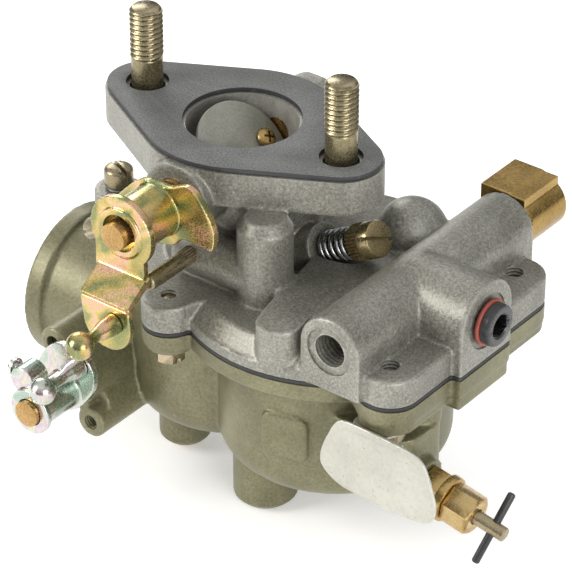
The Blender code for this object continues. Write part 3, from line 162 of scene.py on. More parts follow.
def ball(centre, radius):
    bm = bmesh.new()
    place = Matrix.Translation(centre)
    bmesh.ops.create_uvsphere(bm, u_segments=48, v_segments=32, radius=radius, matrix=place)
    return keep("ball", bm)


# %% [markdown]
# The flange, the rim and the ears are plates whose outline is a belt round some circles. A convex hull of
# the circles' points gives that outline exactly, with no need to work out where the tangents touch.
# %% Helper: a plate round circles
def belt(circles, low, high, sides=96):
    """The plate between two heights that wraps (x, y, radius) circles."""
    bm = bmesh.new()
    for x, y, radius in circles:
        for height in (low, high):
            bmesh.ops.create_circle(
                bm, radius=radius, segments=sides, matrix=Matrix.Translation((x, y, height))
            )
    made = bmesh.ops.convex_hull(bm, input=bm.verts)
    inside = [item for item in made["geom_interior"] if isinstance(item, bmesh.types.BMVert)]
    bmesh.ops.delete(bm, geom=inside, context="VERTS")
    bmesh.ops.dissolve_limit(bm, angle_limit=math.radians(0.5), verts=bm.verts, edges=bm.edges)
    return keep("belt", bm)


# %% [markdown]
# Knobs, screws, the dome and the ball studs are turned on a lathe. A profile of (radius, height) points
# spun about an axis is how a lathe works, and bmesh's spin does the same. Rounded corners in the profile
# come from an arc helper, because a real turned edge is never quite sharp and it is what catches light.
# %% Helpers: a lathe and rounded profile corners
def arc(centre_r, centre_z, radius, first, last, count):
    """Points on an arc, from the first angle to the last, in degrees."""
    turns = [math.radians(first + (last - first) * i / count) for i in range(count + 1)]
    return [(centre_r + radius * math.cos(t), centre_z + radius * math.sin(t)) for t in turns]


def lathe(profile, start, direction, sides=64, name="turned"):
    """Spins (radius, height) points about the axis that leaves start."""
    bm = bmesh.new()
    last = [bm.verts.new((r, 0, z)) for r, z in profile]
    edges = [bm.edges.new(pair) for pair in zip(last, last[1:])]
    bmesh.ops.spin(
        bm, geom=last + edges, axis=(0, 0, 1), cent=(0, 0, 0), angle=math.tau, steps=sides, use_merge=True
    )
    bmesh.ops.remove_doubles(bm, verts=bm.verts, dist=1e-4)
    bmesh.ops.transform(bm, matrix=turn_to(Vector(start), Vector(direction)), verts=bm.verts)
    return keep(name, bm)


def sheet(outline, thickness, matrix, name="sheet"):
    """A flat outline of (x, y) points given a thickness about its own plane."""
    bm = bmesh.new()
    low = [bm.verts.new((x, y, -thickness / 2)) for x, y in outline]
    face = bm.faces.new(low)
    grown = bmesh.ops.extrude_face_region(bm, geom=[face])
    top = [item for item in grown["geom"] if isinstance(item, bmesh.types.BMVert)]
    bmesh.ops.translate(bm, vec=(0, 0, thickness), verts=top)
    bmesh.ops.transform(bm, matrix=matrix, verts=bm.verts)
    return keep(name, bm)


# %% [markdown]
# A casting has no sharp inside corners: the metal flows round them. Overlapping shapes that are joined,
# voxel remeshed and smoothed get that look everywhere at once, and the holes and machined faces are cut
# afterwards, so they stay crisp as they do under a real cutter. The same helper with a finer voxel makes
# the soft edges of stamped levers.
# %% Helpers: fuse, cut and finish
def final_mesh(obj):
    """Applies an object's modifiers."""
    graph = bpy.context.evaluated_depsgraph_get()
    mesh = bpy.data.meshes.new_from_object(obj.evaluated_get(graph))
    obj.modifiers.clear()
    obj.data = mesh
    return obj


def drop(*objects):
    for obj in objects:
        bpy.data.objects.remove(obj)


def merged(name, pieces):
    """One object that holds every piece's mesh, still as separate shells."""
    bm = bmesh.new()
    for piece in pieces:
        bm.from_mesh(piece.data)
    drop(*pieces)
    mesh = bpy.data.meshes.new(name)
    bm.to_mesh(mesh)
    bm.free()
    made = bpy.data.objects.new(name, mesh)
    bpy.context.scene.collection.objects.link(made)
    return made


def fused(name, pieces, voxel, rounds):
    """The pieces as one skin with soft inside corners."""
    made = merged(name, pieces)
    remesh = made.modifiers.new("Fuse", "REMESH")
    remesh.mode = "VOXEL"
    remesh.voxel_size = voxel * MM
    soften = made.modifiers.new("Soften", "SMOOTH")
    soften.factor = 0.5
    soften.iterations = rounds
    return final_mesh(made)


def cut(target, *tools):
    for tool in tools:
        saw = target.modifiers.new("Cut", "BOOLEAN")
        saw.operation = "DIFFERENCE"
        saw.solver = "MANIFOLD"
        saw.object = tool
    final_mesh(target)
    drop(*tools)
    return target


def shaded(obj, angle=32):
    obj.data.shade_smooth()
    obj.data.set_sharp_from_angle(angle=math.radians(angle))
    return obj


def rounded(obj, width, segments=2, angle=32):
    """A small bevel on every edge sharper than the angle."""
    bevel = obj.modifiers.new("Edges", "BEVEL")
    bevel.width = width * MM
    bevel.segments = segments
    bevel.limit_method = "ANGLE"
    bevel.angle_limit = math.radians(angle)
    return shaded(final_mesh(obj))


# %% [markdown]
# Colours and finishes share three effects: the fine grain of a surface, the brighter metal on worn
# edges, and the drifting hues of zinc plating. Each is a node group with its own inputs, so that a
# material only has to say how much of it there is. The groups give out values and colours; the shader
# itself stays in each material.
# %% Node group helpers
def new_group(name, inputs, outputs):
    group = bpy.data.node_groups.new(name, "ShaderNodeTree")
    for label, default in inputs:
        socket = group.interface.new_socket(label, in_out="INPUT", socket_type="NodeSocketFloat")
        socket.default_value = default
    for label, kind in outputs:
        group.interface.new_socket(label, in_out="OUTPUT", socket_type=kind)
    return group, group.nodes.new("NodeGroupInput"), group.nodes.new("NodeGroupOutput")


def math_node(tree, operation, first, second, clamp=False):
    node = tree.nodes.new("ShaderNodeMath")
    node.operation = operation
    node.use_clamp = clamp
    for socket, value in zip(node.inputs, (first, second)):
        if isinstance(value, (int, float)):
            socket.default_value = value
        else:
            tree.links.new(value, socket)
    return node.outputs[0]


def remap(tree, value, low, high, to_low=0.0, to_high=1.0):
    """Spreads the range from low to high over another one."""
    node = tree.nodes.new("ShaderNodeMapRange")
    limits = {"From Min": low, "From Max": high, "To Min": to_low, "To Max": to_high}
    for label, limit in limits.items():
        node.inputs[label].default_value = limit
    tree.links.new(value, node.inputs["Value"])
    return node.outputs[0]


def use_group(tree, group, values):
    node = tree.nodes.new("ShaderNodeGroup")
    node.node_tree = group
    for label, value in values.items():
        node.inputs[label].default_value = value
    return node


def noise_node(tree, place, scale, detail=3.0, rough=0.55):
    node = tree.nodes.new("ShaderNodeTexNoise")
    node.inputs["Detail"].default_value = detail
    node.inputs["Roughness"].default_value = rough
    tree.links.new(place, node.inputs["Vector"])
    if isinstance(scale, (int, float)):
        node.inputs["Scale"].default_value = scale
    else:
        tree.links.new(scale, node.inputs["Scale"])
    return node


# %% [markdown]
# Grain: a cast or blasted surface is covered in tiny pits and grains, about half a millimetre across,
# under larger cloudy patches. Two noise textures give both, and a third gives rare bright flecks.
# %% The grain group
def build_grain():
    group, entry, result = new_group(
        "surface grain",
        [("Grain Scale", 1600.0), ("Patch Scale", 60.0)],
        [("Height", "NodeSocketFloat"), ("Patches", "NodeSocketFloat"), ("Flecks", "NodeSocketFloat")],
    )
    place = group.nodes.new("ShaderNodeTexCoord").outputs["Object"]
    grain = noise_node(group, place, entry.outputs["Grain Scale"], 4.0, 0.6)
    patches = noise_node(group, place, entry.outputs["Patch Scale"], 5.0, 0.6)
    fine = noise_node(group, place, math_node(group, "MULTIPLY", entry.outputs["Grain Scale"], 1.7), 1.0)
    group.links.new(grain.outputs[0], result.inputs["Height"])
    group.links.new(patches.outputs[0], result.inputs["Patches"])
    group.links.new(remap(group, fine.outputs[0], 0.6, 0.74), result.inputs["Flecks"])
    return group


grain_group = build_grain()
print("group:", grain_group.name)


# %% [markdown]
# Edge wear and darker hollows: handling polishes raised edges, and the hollows are darkened. Geometry's
# pointiness says how sharply a surface turns, so a narrow range of it, broken up with noise, marks edges and
# hollows.
# %% The edge group
def build_edges():
    group, entry, result = new_group(
        "worn edges",
        [("Amount", 1.0), ("Break Scale", 400.0)],
        [("Edges", "NodeSocketFloat"), ("Hollows", "NodeSocketFloat")],
    )
    turn = group.nodes.new("ShaderNodeNewGeometry").outputs["Pointiness"]
    place = group.nodes.new("ShaderNodeTexCoord").outputs["Object"]
    breaks = noise_node(group, place, entry.outputs["Break Scale"], 3.0)
    for label, low, high in (("Edges", 0.515, 0.58), ("Hollows", 0.485, 0.43)):
        breakup = math_node(group, "ADD", breaks.outputs[0], 0.35)
        broken = math_node(group, "MULTIPLY", remap(group, turn, low, high), breakup)
        amount = math_node(group, "MULTIPLY", broken, entry.outputs["Amount"], clamp=True)
        group.links.new(amount, result.inputs[label])
    return group


edge_group = build_edges()
print("group:", edge_group.name)


# %% [markdown]
# Plating hues: chromate on zinc is a film thinner than light's wavelength, so its colour drifts from
# straw through pink to green where it is thicker. A slow noise read through a colour ramp gives bands
# that wander over the part.
# %% The plating group
def build_hues(name, stops):
    inputs = [("Band Scale", 55.0), ("Streaks", 0.3)]
    group, entry, result = new_group(name, inputs, [("Color", "NodeSocketColor")])
    place = group.nodes.new("ShaderNodeTexCoord").outputs["Object"]
    film = noise_node(group, place, entry.outputs["Band Scale"], 2.0, 0.5)
    film.inputs["Distortion"].default_value = 1.2
    streak = noise_node(group, place, 900.0, 4.0, 0.7)
    centred = math_node(group, "SUBTRACT", streak.outputs[0], 0.5)
    shift = math_node(group, "MULTIPLY", centred, entry.outputs["Streaks"])
    wider = math_node(group, "MULTIPLY", math_node(group, "SUBTRACT", film.outputs[0], 0.5), 2.3)
    total = math_node(group, "ADD", math_node(group, "ADD", wider, 0.5), shift, clamp=True)
    ramp = group.nodes.new("ShaderNodeValToRGB")
    while len(ramp.color_ramp.elements) < len(stops):
        ramp.color_ramp.elements.new(0.5)
    for element, (position, color) in zip(ramp.color_ramp.elements, stops):
        element.position = position
        element.color = (*color, 1)
    group.links.new(total, ramp.inputs[0])
    group.links.new(ramp.outputs["Color"], result.inputs["Color"])
    return group


yellow_hues = build_hues(
    "yellow plating",
    [
        (0.24, (0.20, 0.23, 0.10)),
        (0.37, (0.46, 0.36, 0.12)),
        (0.47, (0.62, 0.45, 0.19)),
        (0.57, (0.70, 0.40, 0.30)),
        (0.68, (0.55, 0.43, 0.18)),
        (0.80, (0.25, 0.27, 0.11)),
    ],
)
silver_hues = build_hues(
    "clear plating",
    [
        (0.24, (0.36, 0.46, 0.39)),
        (0.37, (0.52, 0.56, 0.48)),
        (0.47, (0.60, 0.57, 0.55)),
        (0.57, (0.55, 0.44, 0.50)),
        (0.68, (0.62, 0.59, 0.44)),
        (0.80, (0.42, 0.50, 0.45)),
    ],
)
print("groups:", yellow_hues.name, "and", silver_hues.name)


# %% [markdown]
# Every finish here is some base colour that varies with the patches, gets lighter on worn edges and
# darker in hollows, and has a bump from the grain. One function builds that chain, and each finish below
# gives its own colours and amounts. Numbers that are the same all over go straight on the shader. Mixing
# two colours comes up again and again in the chain, so it is a helper of its own.
# %% Helper: mix two colours in a material
def mixed(tree, factor, first, second, how="MIX"):
    mix = tree.nodes.new("ShaderNodeMix")
    mix.data_type = "RGBA"
    mix.blend_type = how
    wanted = ((mix.inputs["Factor"], factor), (mix.inputs[6], first), (mix.inputs[7], second))
    for socket, value in wanted:
        if isinstance(value, bpy.types.NodeSocket):
            tree.links.new(value, socket)
        else:
            socket.default_value = value if isinstance(value, float) else (*value, 1)
    return mix.outputs[2]


# %% A finish from its parts
GLOSS_DRIFT = 0.12


def finish(name, dark, light, roughness, metallic, grain=1600.0, patch=60.0, bump=0.3, depth=0.08,
           wear=0.5, worn=None, hollow_darkening=0.6, flecks=0.2, hues=None, streaks=0.3, bands=55.0, speckle=0.12):
    look = bpy.data.materials.new(name)
    look.use_nodes = True
    tree = look.node_tree
    shader = tree.nodes["Principled BSDF"]
    shader.inputs["Metallic"].default_value = metallic
    surface = use_group(tree, grain_group, {"Grain Scale": grain, "Patch Scale": patch})
    edges = use_group(tree, edge_group, {"Amount": wear})
    height = surface.outputs["Height"]
    color = mixed(tree, remap(tree, surface.outputs["Patches"], 0.32, 0.68), dark, light)
    if hues is not None:
        plating = use_group(tree, hues, {"Streaks": streaks, "Band Scale": bands})
        color = mixed(tree, 0.86, color, plating.outputs["Color"])
    grit = remap(tree, height, 0.36, 0.64, 1.0 - speckle, 1.0 + speckle)
    color = mixed(tree, 1.0, color, grit, "MULTIPLY")
    bright = worn or tuple(min(1.0, c * 1.5 + 0.05) for c in light)
    # Hollows that pointiness finds are darkened towards a quarter of the dark colour.
    hollow_colour = tuple(c * 0.25 for c in dark)
    color = mixed(tree, math_node(tree, "MULTIPLY", surface.outputs["Flecks"], flecks), color, bright)
    color = mixed(tree, edges.outputs["Edges"], color, bright)
    color = mixed(tree, math_node(tree, "MULTIPLY", edges.outputs["Hollows"], hollow_darkening), color, hollow_colour)
    tree.links.new(color, shader.inputs["Base Color"])
    gloss = remap(tree, height, 0.3, 0.7, roughness - GLOSS_DRIFT, roughness + GLOSS_DRIFT)
    tree.links.new(gloss, shader.inputs["Roughness"])
    relief = tree.nodes.new("ShaderNodeBump")
    relief.inputs["Strength"].default_value = bump
    relief.inputs["Distance"].default_value = depth * MM
    tree.links.new(height, relief.inputs["Height"])
    tree.links.new(relief.outputs["Normal"], shader.inputs["Normal"])
    return look


print("roughness drifts by", GLOSS_DRIFT, "either way")


# %% [markdown]
# The finishes, from the large castings to the small trim. The upper casting is blasted grey aluminium.
# The lower one is the same metal under an olive conversion coat. Steel parts are zinc plated, yellow on
# the throttle side and nearly clear on the choke side, and the jets, needle and fittings are brass.
# %% Casting and gasket finishes
# Both castings have their hollows darkened strongly.
cast_grey = finish("cast aluminium", (0.185, 0.18, 0.148), (0.285, 0.28, 0.24), 0.42, 0.5,
                   grain=1300, patch=45, bump=0.7, depth=0.14, wear=0.55, worn=(0.60, 0.59, 0.54),
                   hollow_darkening=0.85, flecks=0.4, speckle=0.3)
cast_olive = finish("olive casting", (0.135, 0.126, 0.068), (0.225, 0.215, 0.125), 0.42, 0.4,
                    grain=1200, patch=38, bump=0.5, depth=0.11, wear=0.3, worn=(0.36, 0.33, 0.20),
                    hollow_darkening=0.85, flecks=0.2, speckle=0.2)
machined = finish("machined aluminium", (0.30, 0.30, 0.28), (0.44, 0.44, 0.41), 0.34, 0.85,
                  grain=2600, bump=0.12)
plate_grey = finish("butterfly plate", (0.25, 0.25, 0.21), (0.34, 0.34, 0.29), 0.42, 0.5,
                    grain=1700, bump=0.25, depth=0.05, wear=0.5, speckle=0.14)
tag_metal = finish("aluminium tag", (0.42, 0.41, 0.35), (0.54, 0.53, 0.46), 0.38, 0.6,
                   grain=850, patch=50, bump=0.4, depth=0.07, wear=0.6, worn=(0.74, 0.74, 0.70),
                   flecks=0.12, speckle=0.07)
gasket_face = finish("gasket fibre", (0.10, 0.102, 0.098), (0.145, 0.147, 0.14), 0.72, 0.0,
                     grain=1700, patch=70, bump=0.5, depth=0.08, wear=0.15, flecks=0.5, speckle=0.42)
gasket_edge = finish("gasket edge", (0.012, 0.012, 0.014), (0.03, 0.03, 0.034), 0.6, 0.0,
                     grain=2200, bump=0.3)
red_rubber = finish("red seal", (0.15, 0.025, 0.014), (0.27, 0.05, 0.028), 0.45, 0.0,
                    grain=1200, bump=0.2)
print(len(bpy.data.materials), "materials so far")

# %% Plated, brass and steel finishes
yellow_zinc = finish("yellow zinc", (0.36, 0.29, 0.11), (0.55, 0.44, 0.20), 0.25, 0.92,
                     grain=2000, bump=0.16, depth=0.05, wear=0.5, worn=(0.66, 0.55, 0.42),
                     hues=yellow_hues, flecks=0.1, bands=48.0, streaks=0.16, speckle=0.14)
dull_zinc = finish("dull yellow zinc", (0.17, 0.15, 0.085), (0.32, 0.275, 0.16), 0.32, 0.92,
                   grain=1800, bump=0.2, depth=0.05, wear=0.8, worn=(0.52, 0.42, 0.29),
                   flecks=0.2, speckle=0.25)
silver_zinc = finish("silver zinc", (0.36, 0.37, 0.35), (0.56, 0.55, 0.52), 0.22, 0.95,
                     grain=2200, bump=0.14, depth=0.05, wear=0.4, hues=silver_hues,
                     flecks=0.08, bands=58.0, streaks=0.12, speckle=0.1)
copper = finish("copper washed shaft", (0.34, 0.20, 0.07), (0.52, 0.33, 0.12), 0.30, 0.95,
                grain=1600, bump=0.25, depth=0.06, wear=0.6, worn=(0.66, 0.48, 0.26), speckle=0.2)
brass = finish("brass", (0.30, 0.19, 0.055), (0.46, 0.305, 0.105), 0.28, 0.95,
               grain=1300, patch=90, bump=0.2, depth=0.05, wear=0.7, worn=(0.64, 0.48, 0.24),
               flecks=0.15, speckle=0.14)
aged_brass = finish("aged brass", (0.24, 0.19, 0.085), (0.38, 0.31, 0.16), 0.30, 0.92,
                    grain=1600, patch=120, bump=0.2, depth=0.05, wear=0.7, worn=(0.55, 0.44, 0.26),
                    flecks=0.1, speckle=0.16)
steel = finish("bright steel", (0.25, 0.26, 0.27), (0.42, 0.43, 0.44), 0.26, 1.0,
               grain=2400, bump=0.12, depth=0.04)
black_steel = finish("black oxide", (0.006, 0.006, 0.006), (0.02, 0.02, 0.022), 0.34, 0.3,
                     grain=2200, bump=0.25, depth=0.05, wear=0.7, worn=(0.12, 0.12, 0.12), flecks=0.1)
print(len(bpy.data.materials), "materials")


# %% [markdown]
# A finished piece takes its material, is named after its node, rides on the body that its CAD node rides on,
# and hides that node. One helper does it all, so none is forgotten.
# %% Helper: put a piece in its place
body_of = {name: obj.parent.name.split(":", 1)[1] for name, obj in nodes.items()}


def install(piece, node, look):
    """Makes the piece stand for a node, in a finish."""
    piece.name = f"{node}_piece"
    piece.data.materials.clear()
    piece.data.materials.append(look)
    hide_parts(node)
    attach(piece, body_of[node])
    return piece


# %% [markdown]
# The upper casting carries everything: the two-bolt flange, the throttle barrel, the cover of the fuel
# bowl and the fuel tunnel. On the real part it is one sand-cast block with a few machined faces. So it is
# made as one fused block from about twenty-five simple shapes, then cut.
# %% Where the castings meet
def rim(low, high, shrink=0.0):
    """The outline that both castings and their gasket share, between two heights."""
    right = 8.8 - shrink
    return [
        belt([(33, 0, 44.3 - shrink)], low, high, sides=180),
        belt([(-5, 0, 30 - shrink), (-46, 0, 7 - shrink)], low, high),
        belt([(4.2, -38.2, 7.8 - shrink), (4.2, 38.2, 7.8 - shrink), (8, 0, 20)], low, high),
        belt([(72.8, -29, right), (72.8, 29, right), (50, 0, 20)], low, high),
        block((60, -13, low), (84.5 - shrink, 11, high)),
    ]


# %% [markdown]
# The simple shapes overlap where the metal flows together: the dome over the bowl, the barrel with its
# flange, the ears' pads, the fuel tunnel and its plug boss, the vent's round top and the column.
# %% The upper casting's block
def upper_block():
    dome = [(0, -30.5), (29, -31.3)] + arc(32.5, -36.6, 5, 80, 25, 6)
    dome += [(43.9, -42.3), (43.9, PARTING + 0.2), (0, PARTING + 0.2)]
    vent, column = Vector((44.2, 20, 0)), Vector((25.5, -22.5, 0))
    step_line = Matrix.Translation((36.7, -42.1, 0)) @ Matrix.Rotation(math.radians(11.7), 4, "Z")
    cover = cut(lathe(dome, BOWL, Z, sides=120), block((-45, -8, -37), (0, 36, -28), step_line))
    pieces = rim(PARTING - 0.6, -42)
    pieces += [
        belt([(0, 0, 28.3), (-STUD_REACH, 0, 12), (STUD_REACH, 0, 12)], -12.4, -0.6, sides=180),
        upright(ORIGIN, PARTING + 1, -11, 21.5),
        cover,
        along_y(THROTTLE, -30, 34, 10.6),
        along_y(STOP_PIN, -28.6, -10, 7),
        belt([(4.2, -38.2, 7.8), (9, -22, 9)], PARTING, -37),
        belt([(4.2, 38.2, 7.8), (9, 22, 9)], PARTING, -37),
        belt([(-46, 0, 7.2), (-14, 0, 9)], PARTING, -39.6),
        along_y(TUNNEL, -40, 42, 9.8),
        block((50.7, -40, PARTING), (70.3, 42, TUNNEL.z)),
        rod((TUNNEL.x, PLUG_FACE.y, PLUG_FACE.z), PLUG_FACE, 11.9),
        block((TUNNEL.x, -12.9, PARTING), (PLUG_FACE.x, 10.9, PLUG_FACE.z)),
        rod(IDLE_FACE - IDLE_AXIS * 13.5, IDLE_FACE, 7.6),
        upright(column, -39, -14.6, 7.8),
        upright(column, -14.7, -11.5, 7.8, 5.6),
        belt([(42, -37.3, 6.5), (38.5, -22, 6.5)], PARTING + 2, -30.9),
        rod((-2, -23.5, -30.5), (25.5, -23.5, -30.5), 6.6),
        upright(vent, PARTING + 1, -30.4, 10.3),
        ball((vent.x, vent.y, -30.4), 10.3),
        belt([(72.8, -29, 8.8), (72.8, -14.5, 8.8)], PARTING, -37),
        belt([(72.8, 29, 8.8), (72.8, 14.5, 8.8)], PARTING, -37),
    ]
    return fused("throttle_body_casting", pieces, 0.52, 6)


upper = upper_block()
print("upper casting:", len(upper.data.polygons), "faces before machining")


# %% [markdown]
# Machining: the two joint faces are milled flat, the throttle bore and shaft holes are bored, and the
# screw and stud holes drilled. The threaded holes get a fine ridge, which is what tells an eye that a
# hole is tapped. A ridged lathe profile, used as a cutter, leaves the thread in the wall.
# %% Threads as lathe profiles
def ridges(radius, depth, pitch, low, high):
    """Profile points up a threaded side, from low to high."""
    count = max(1, int((high - low) / pitch))
    step = (high - low) / count
    points = []
    for i in range(count):
        base = low + i * step
        points += [(radius - depth, base + 0.08 * step), (radius, base + 0.42 * step)]
        points += [(radius, base + 0.58 * step), (radius - depth, base + 0.92 * step)]
    return points


def thread_tool(start, direction, radius, length, pitch=1.1, depth=0.45, sides=40):
    profile = [(0, 0)] + ridges(radius, depth, pitch, 0, length) + [(0, length)]
    return lathe(profile, start, direction, sides=sides, name="tap")


# %% Machine the upper casting
def machine_upper(casting):
    """Mills the two joint faces, then bores and taps every hole."""
    tools = [
        block((-80, -60, -1.6), (100, 60, 8)),
        block((-80, -60, PARTING - 6), (110, 60, PARTING)),
        upright(ORIGIN, -50, 2, 15.9, sides=128),
        upright(Vector((37, 0, 0)), PARTING - 2, -38, 29, sides=96),
        along_y(THROTTLE, -35, 29, 4.1),
        along_y(THROTTLE, -35, -22, 5.85),
        along_y(THROTTLE, 23, 33, 5.85),
        along_y(STOP_PIN, -30, -18, 2.6),
        thread_tool((TUNNEL.x, -41, TUNNEL.z), Y, 5.0, 31, pitch=1.4, depth=0.2),
        along_y(TUNNEL, -42, -39.5, 7.2),
        along_y(TUNNEL, 28, 43, 6.4),
        rod((64, PLUG_FACE.y, PLUG_FACE.z), (86, PLUG_FACE.y, PLUG_FACE.z), 5.3),
        rod((83.9, PLUG_FACE.y, PLUG_FACE.z), (86, PLUG_FACE.y, PLUG_FACE.z), 8.2),
        upright(Vector((51.5, 0, 0)), -39, -33, 4.2),
        rod(IDLE_FACE - IDLE_AXIS * 20, IDLE_FACE + IDLE_AXIS, 2.5),
        rod(IDLE_FACE - IDLE_AXIS * 0.1, IDLE_FACE + IDLE_AXIS * 22, 5.7),
        upright(LEFT_EAR, PARTING - 1, -38, 2.9),
        upright(Vector((14.5, 13, 0)), PARTING - 1, -36.5, 2.2),
    ]
    for ear, tap in ((FRONT_EAR, 2.8), (REAR_EAR, 2.8), (RIGHT_EAR, 3.0), (FAR_EAR, 3.0)):
        tools.append(thread_tool((ear.x, ear.y, PARTING - 1), Z, tap, 10))
    for spot in STUDS.values():
        tools.append(upright(spot, -11.9, 1, 5.1))
    return shaded(cut(casting, *tools))


machine_upper(upper)
install(upper, "throttle_body", cast_grey)
print("upper casting:", len(upper.data.polygons), "faces")


# %% [markdown]
# The lower casting is the fuel bowl with the throat beside it, the air horn that turns up into the
# throat, the choke shaft's boss and two tapped bosses for a cable bracket. It is made the same way, and
# its olive coat hides the machining better, so only the joint face and the holes are crisp.
# %% The lower casting's block
def bowl_outline(radius, top, bottom, corner):
    """A cup's profile: a straight side, a rounded corner and a flat bottom."""
    rounding = arc(radius - corner, bottom + corner, corner, 0, -90, 14)
    return [(0, top), (radius, top)] + rounding + [(0, bottom)]


def lower_block():
    pad_turn = Matrix.Translation((33, 0, -72)) @ Matrix.Rotation(math.radians(-77.5), 4, "Z")
    pad_corners = [(y, z) for y in (-4.5, 4.5) for z in (-4.5, 4.5)]
    lowest, highest = CHOKE + BRACKET, CHOKE - BRACKET
    middle, span = (lowest + highest) / 2, lowest - highest
    web_turn = Matrix.Rotation(math.atan2(-span.x, -span.z), 4, "Y")
    web_place = Matrix.Translation((middle.x, 0, middle.z)) @ web_turn
    pieces = rim(-51.6, BOWL_TOP + 0.6)
    pieces += [
        lathe(bowl_outline(33.6, -50, -94, 9), BOWL, Z, sides=140),
        lathe(bowl_outline(29, -50, -93, 9), Vector((-5, 0, 0)), Z, sides=128),
        rod((-63, 0, HORN_Z), (-10, 0, HORN_Z), 22.2, sides=128),
        rod((-64, 0, HORN_Z), (-58, 0, HORN_Z), 23.7, sides=128),
        along_y(CHOKE, -44.4, -10, 7.5),
        along_y(CHOKE, 10, 28, 7.5),
        along_y(highest, -44.4, -10, 4.8),
        along_y(lowest, -44.4, -10, 4.8),
        block((-5, -26, -12.7), (5, -39.4, 12.7), web_place),
        upright(FRONT_WELL, -109.5, -88, 9.4),
        upright(FRONT_WELL, -111.5, -109.4, 7.4, 9.4),
        upright(REAR_WELL, -108, -88, 7.7),
        upright(REAR_WELL, -110, -107.9, 5.7, 7.7),
        upright(FRONT_EAR, -53.1, BOWL_TOP - 1, 7),
        upright(REAR_EAR, -53.1, BOWL_TOP - 1, 7),
        block((25, -7, -4.5), (34.6, 7, 4.5), pad_turn),
        block((25, -4.5, -7), (34.6, 4.5, 7), pad_turn),
        *[rod(pad_turn @ Vector((25, y, z)), pad_turn @ Vector((34.6, y, z)), 2.5)
          for y, z in pad_corners],
        belt([(72.8, -29, 8.4), (72.8, 29, 8.4)], -54.6, BOWL_TOP - 1),
        block((62, -12.6, -56.6), (84.1, 10.6, -48)),
        belt([(55, -21, 7), (70.5, -21, 7), (70.8, -14.5, 7)], -84, -62.5),
        belt([(58, -13, 6), (70.8, -12.5, 6.4)], -63, -50),
        rod(JET - NEEDLE_AXIS * 24, JET, 7.6),
    ]
    return fused("fuel_bowl_casting", pieces, 0.55, 7)


lower = lower_block()
print("lower casting:", len(lower.data.polygons), "faces before machining")


# %% [markdown]
# The bowl is hollowed with a cutter of its own outline, a little smaller. That cutter first loses a round
# about the throat's axis, so that a wall stays between the bowl and the throat.
# %% Machine the lower casting
def machine_lower(casting):
    hollow = lathe(bowl_outline(30.6, BOWL_TOP + 1, -90.5, 7), BOWL, Z, sides=128)
    cut(hollow, upright(ORIGIN, -100, 0, 18, sides=96))
    tools = [
        block((-80, -60, BOWL_TOP), (110, 60, BOWL_TOP + 8)),
        hollow,
        upright(ORIGIN, -77, BOWL_TOP + 1, 15.2, sides=96),
        rod((-66, 0, HORN_Z), (-7, 0, HORN_Z), 20.4, sides=128),
        rod((-8, 0, HORN_Z), (0, 0, HORN_Z), 15.2, sides=96),
        ball((0, 0, HORN_Z), 15.2),
        along_y(CHOKE, -46, 24, 4.15),
        thread_tool(CHOKE - BRACKET + Y * -45, Y, 2.5, 13, pitch=0.9, depth=0.3),
        thread_tool(CHOKE + BRACKET + Y * -45, Y, 2.5, 13, pitch=0.9, depth=0.3),
        upright(FRONT_WELL, -113, -92, 5.6),
        upright(REAR_WELL, -111, -99, 4.6),
        rod(JET - NEEDLE_AXIS * 9, JET + NEEDLE_AXIS, 5.5),
        rod(JET - NEEDLE_AXIS * 24, JET - NEEDLE_AXIS * 8, 3.2),
        upright(ORIGIN, -91.5, HORN_Z, 3.5),
        *[upright(ear, -58, BOWL_TOP + 1, 2.8) for ear in EARS],
    ]
    return shaded(cut(casting, *tools))


machine_lower(lower)
install(lower, "fuel_bowl", cast_olive)
print("lower casting:", len(lower.data.polygons), "faces")


# %% [markdown]
# Two gaskets seal the faces. The flange gasket is thick pressed fibre: its sheared edge is much darker
# than its blue-grey face, so the sides get a second material by each face's normal.
# %% Gaskets
def two_tone(piece, edge_look):
    """Gives every face that stands upright the second finish."""
    piece.data.materials.append(edge_look)
    for face in piece.data.polygons:
        if abs(face.normal.z) < 0.5:
            face.material_index = 1


flange_seal = belt([(0, 0, 27.7), (-STUD_REACH, 0, 11.4), (STUD_REACH, 0, 11.4)], -1.3, 0, sides=180)
cut(flange_seal, upright(ORIGIN, -2, 1, 16.7, sides=128),
    *[upright(spot, -2, 1, 6.1) for spot in STUDS.values()])
rounded(flange_seal, 0.15)
install(flange_seal, "flange_gasket", gasket_face)
two_tone(flange_seal, gasket_edge)

bowl_seal = fused("bowl_seal", rim(BOWL_TOP, PARTING, 0.2), 0.4, 1)
inside = upright(Vector((36, 0, 0)), -48, -44, 27, sides=96)
cut(inside, upright(ORIGIN, -49, -43, 18.5, sides=96))
cut(bowl_seal, block((-80, -60, -45.3), (110, 60, -43)), block((-80, -60, -49), (110, 60, -46.3)),
    inside, upright(ORIGIN, -48, -44, 15.9, sides=96), *[upright(ear, -48, -44, 2.9) for ear in EARS])
shaded(bowl_seal)
install(bowl_seal, "bowl_gasket", gasket_edge)
print("gaskets:", len(flange_seal.data.polygons), "and", len(bowl_seal.data.polygons), "faces")


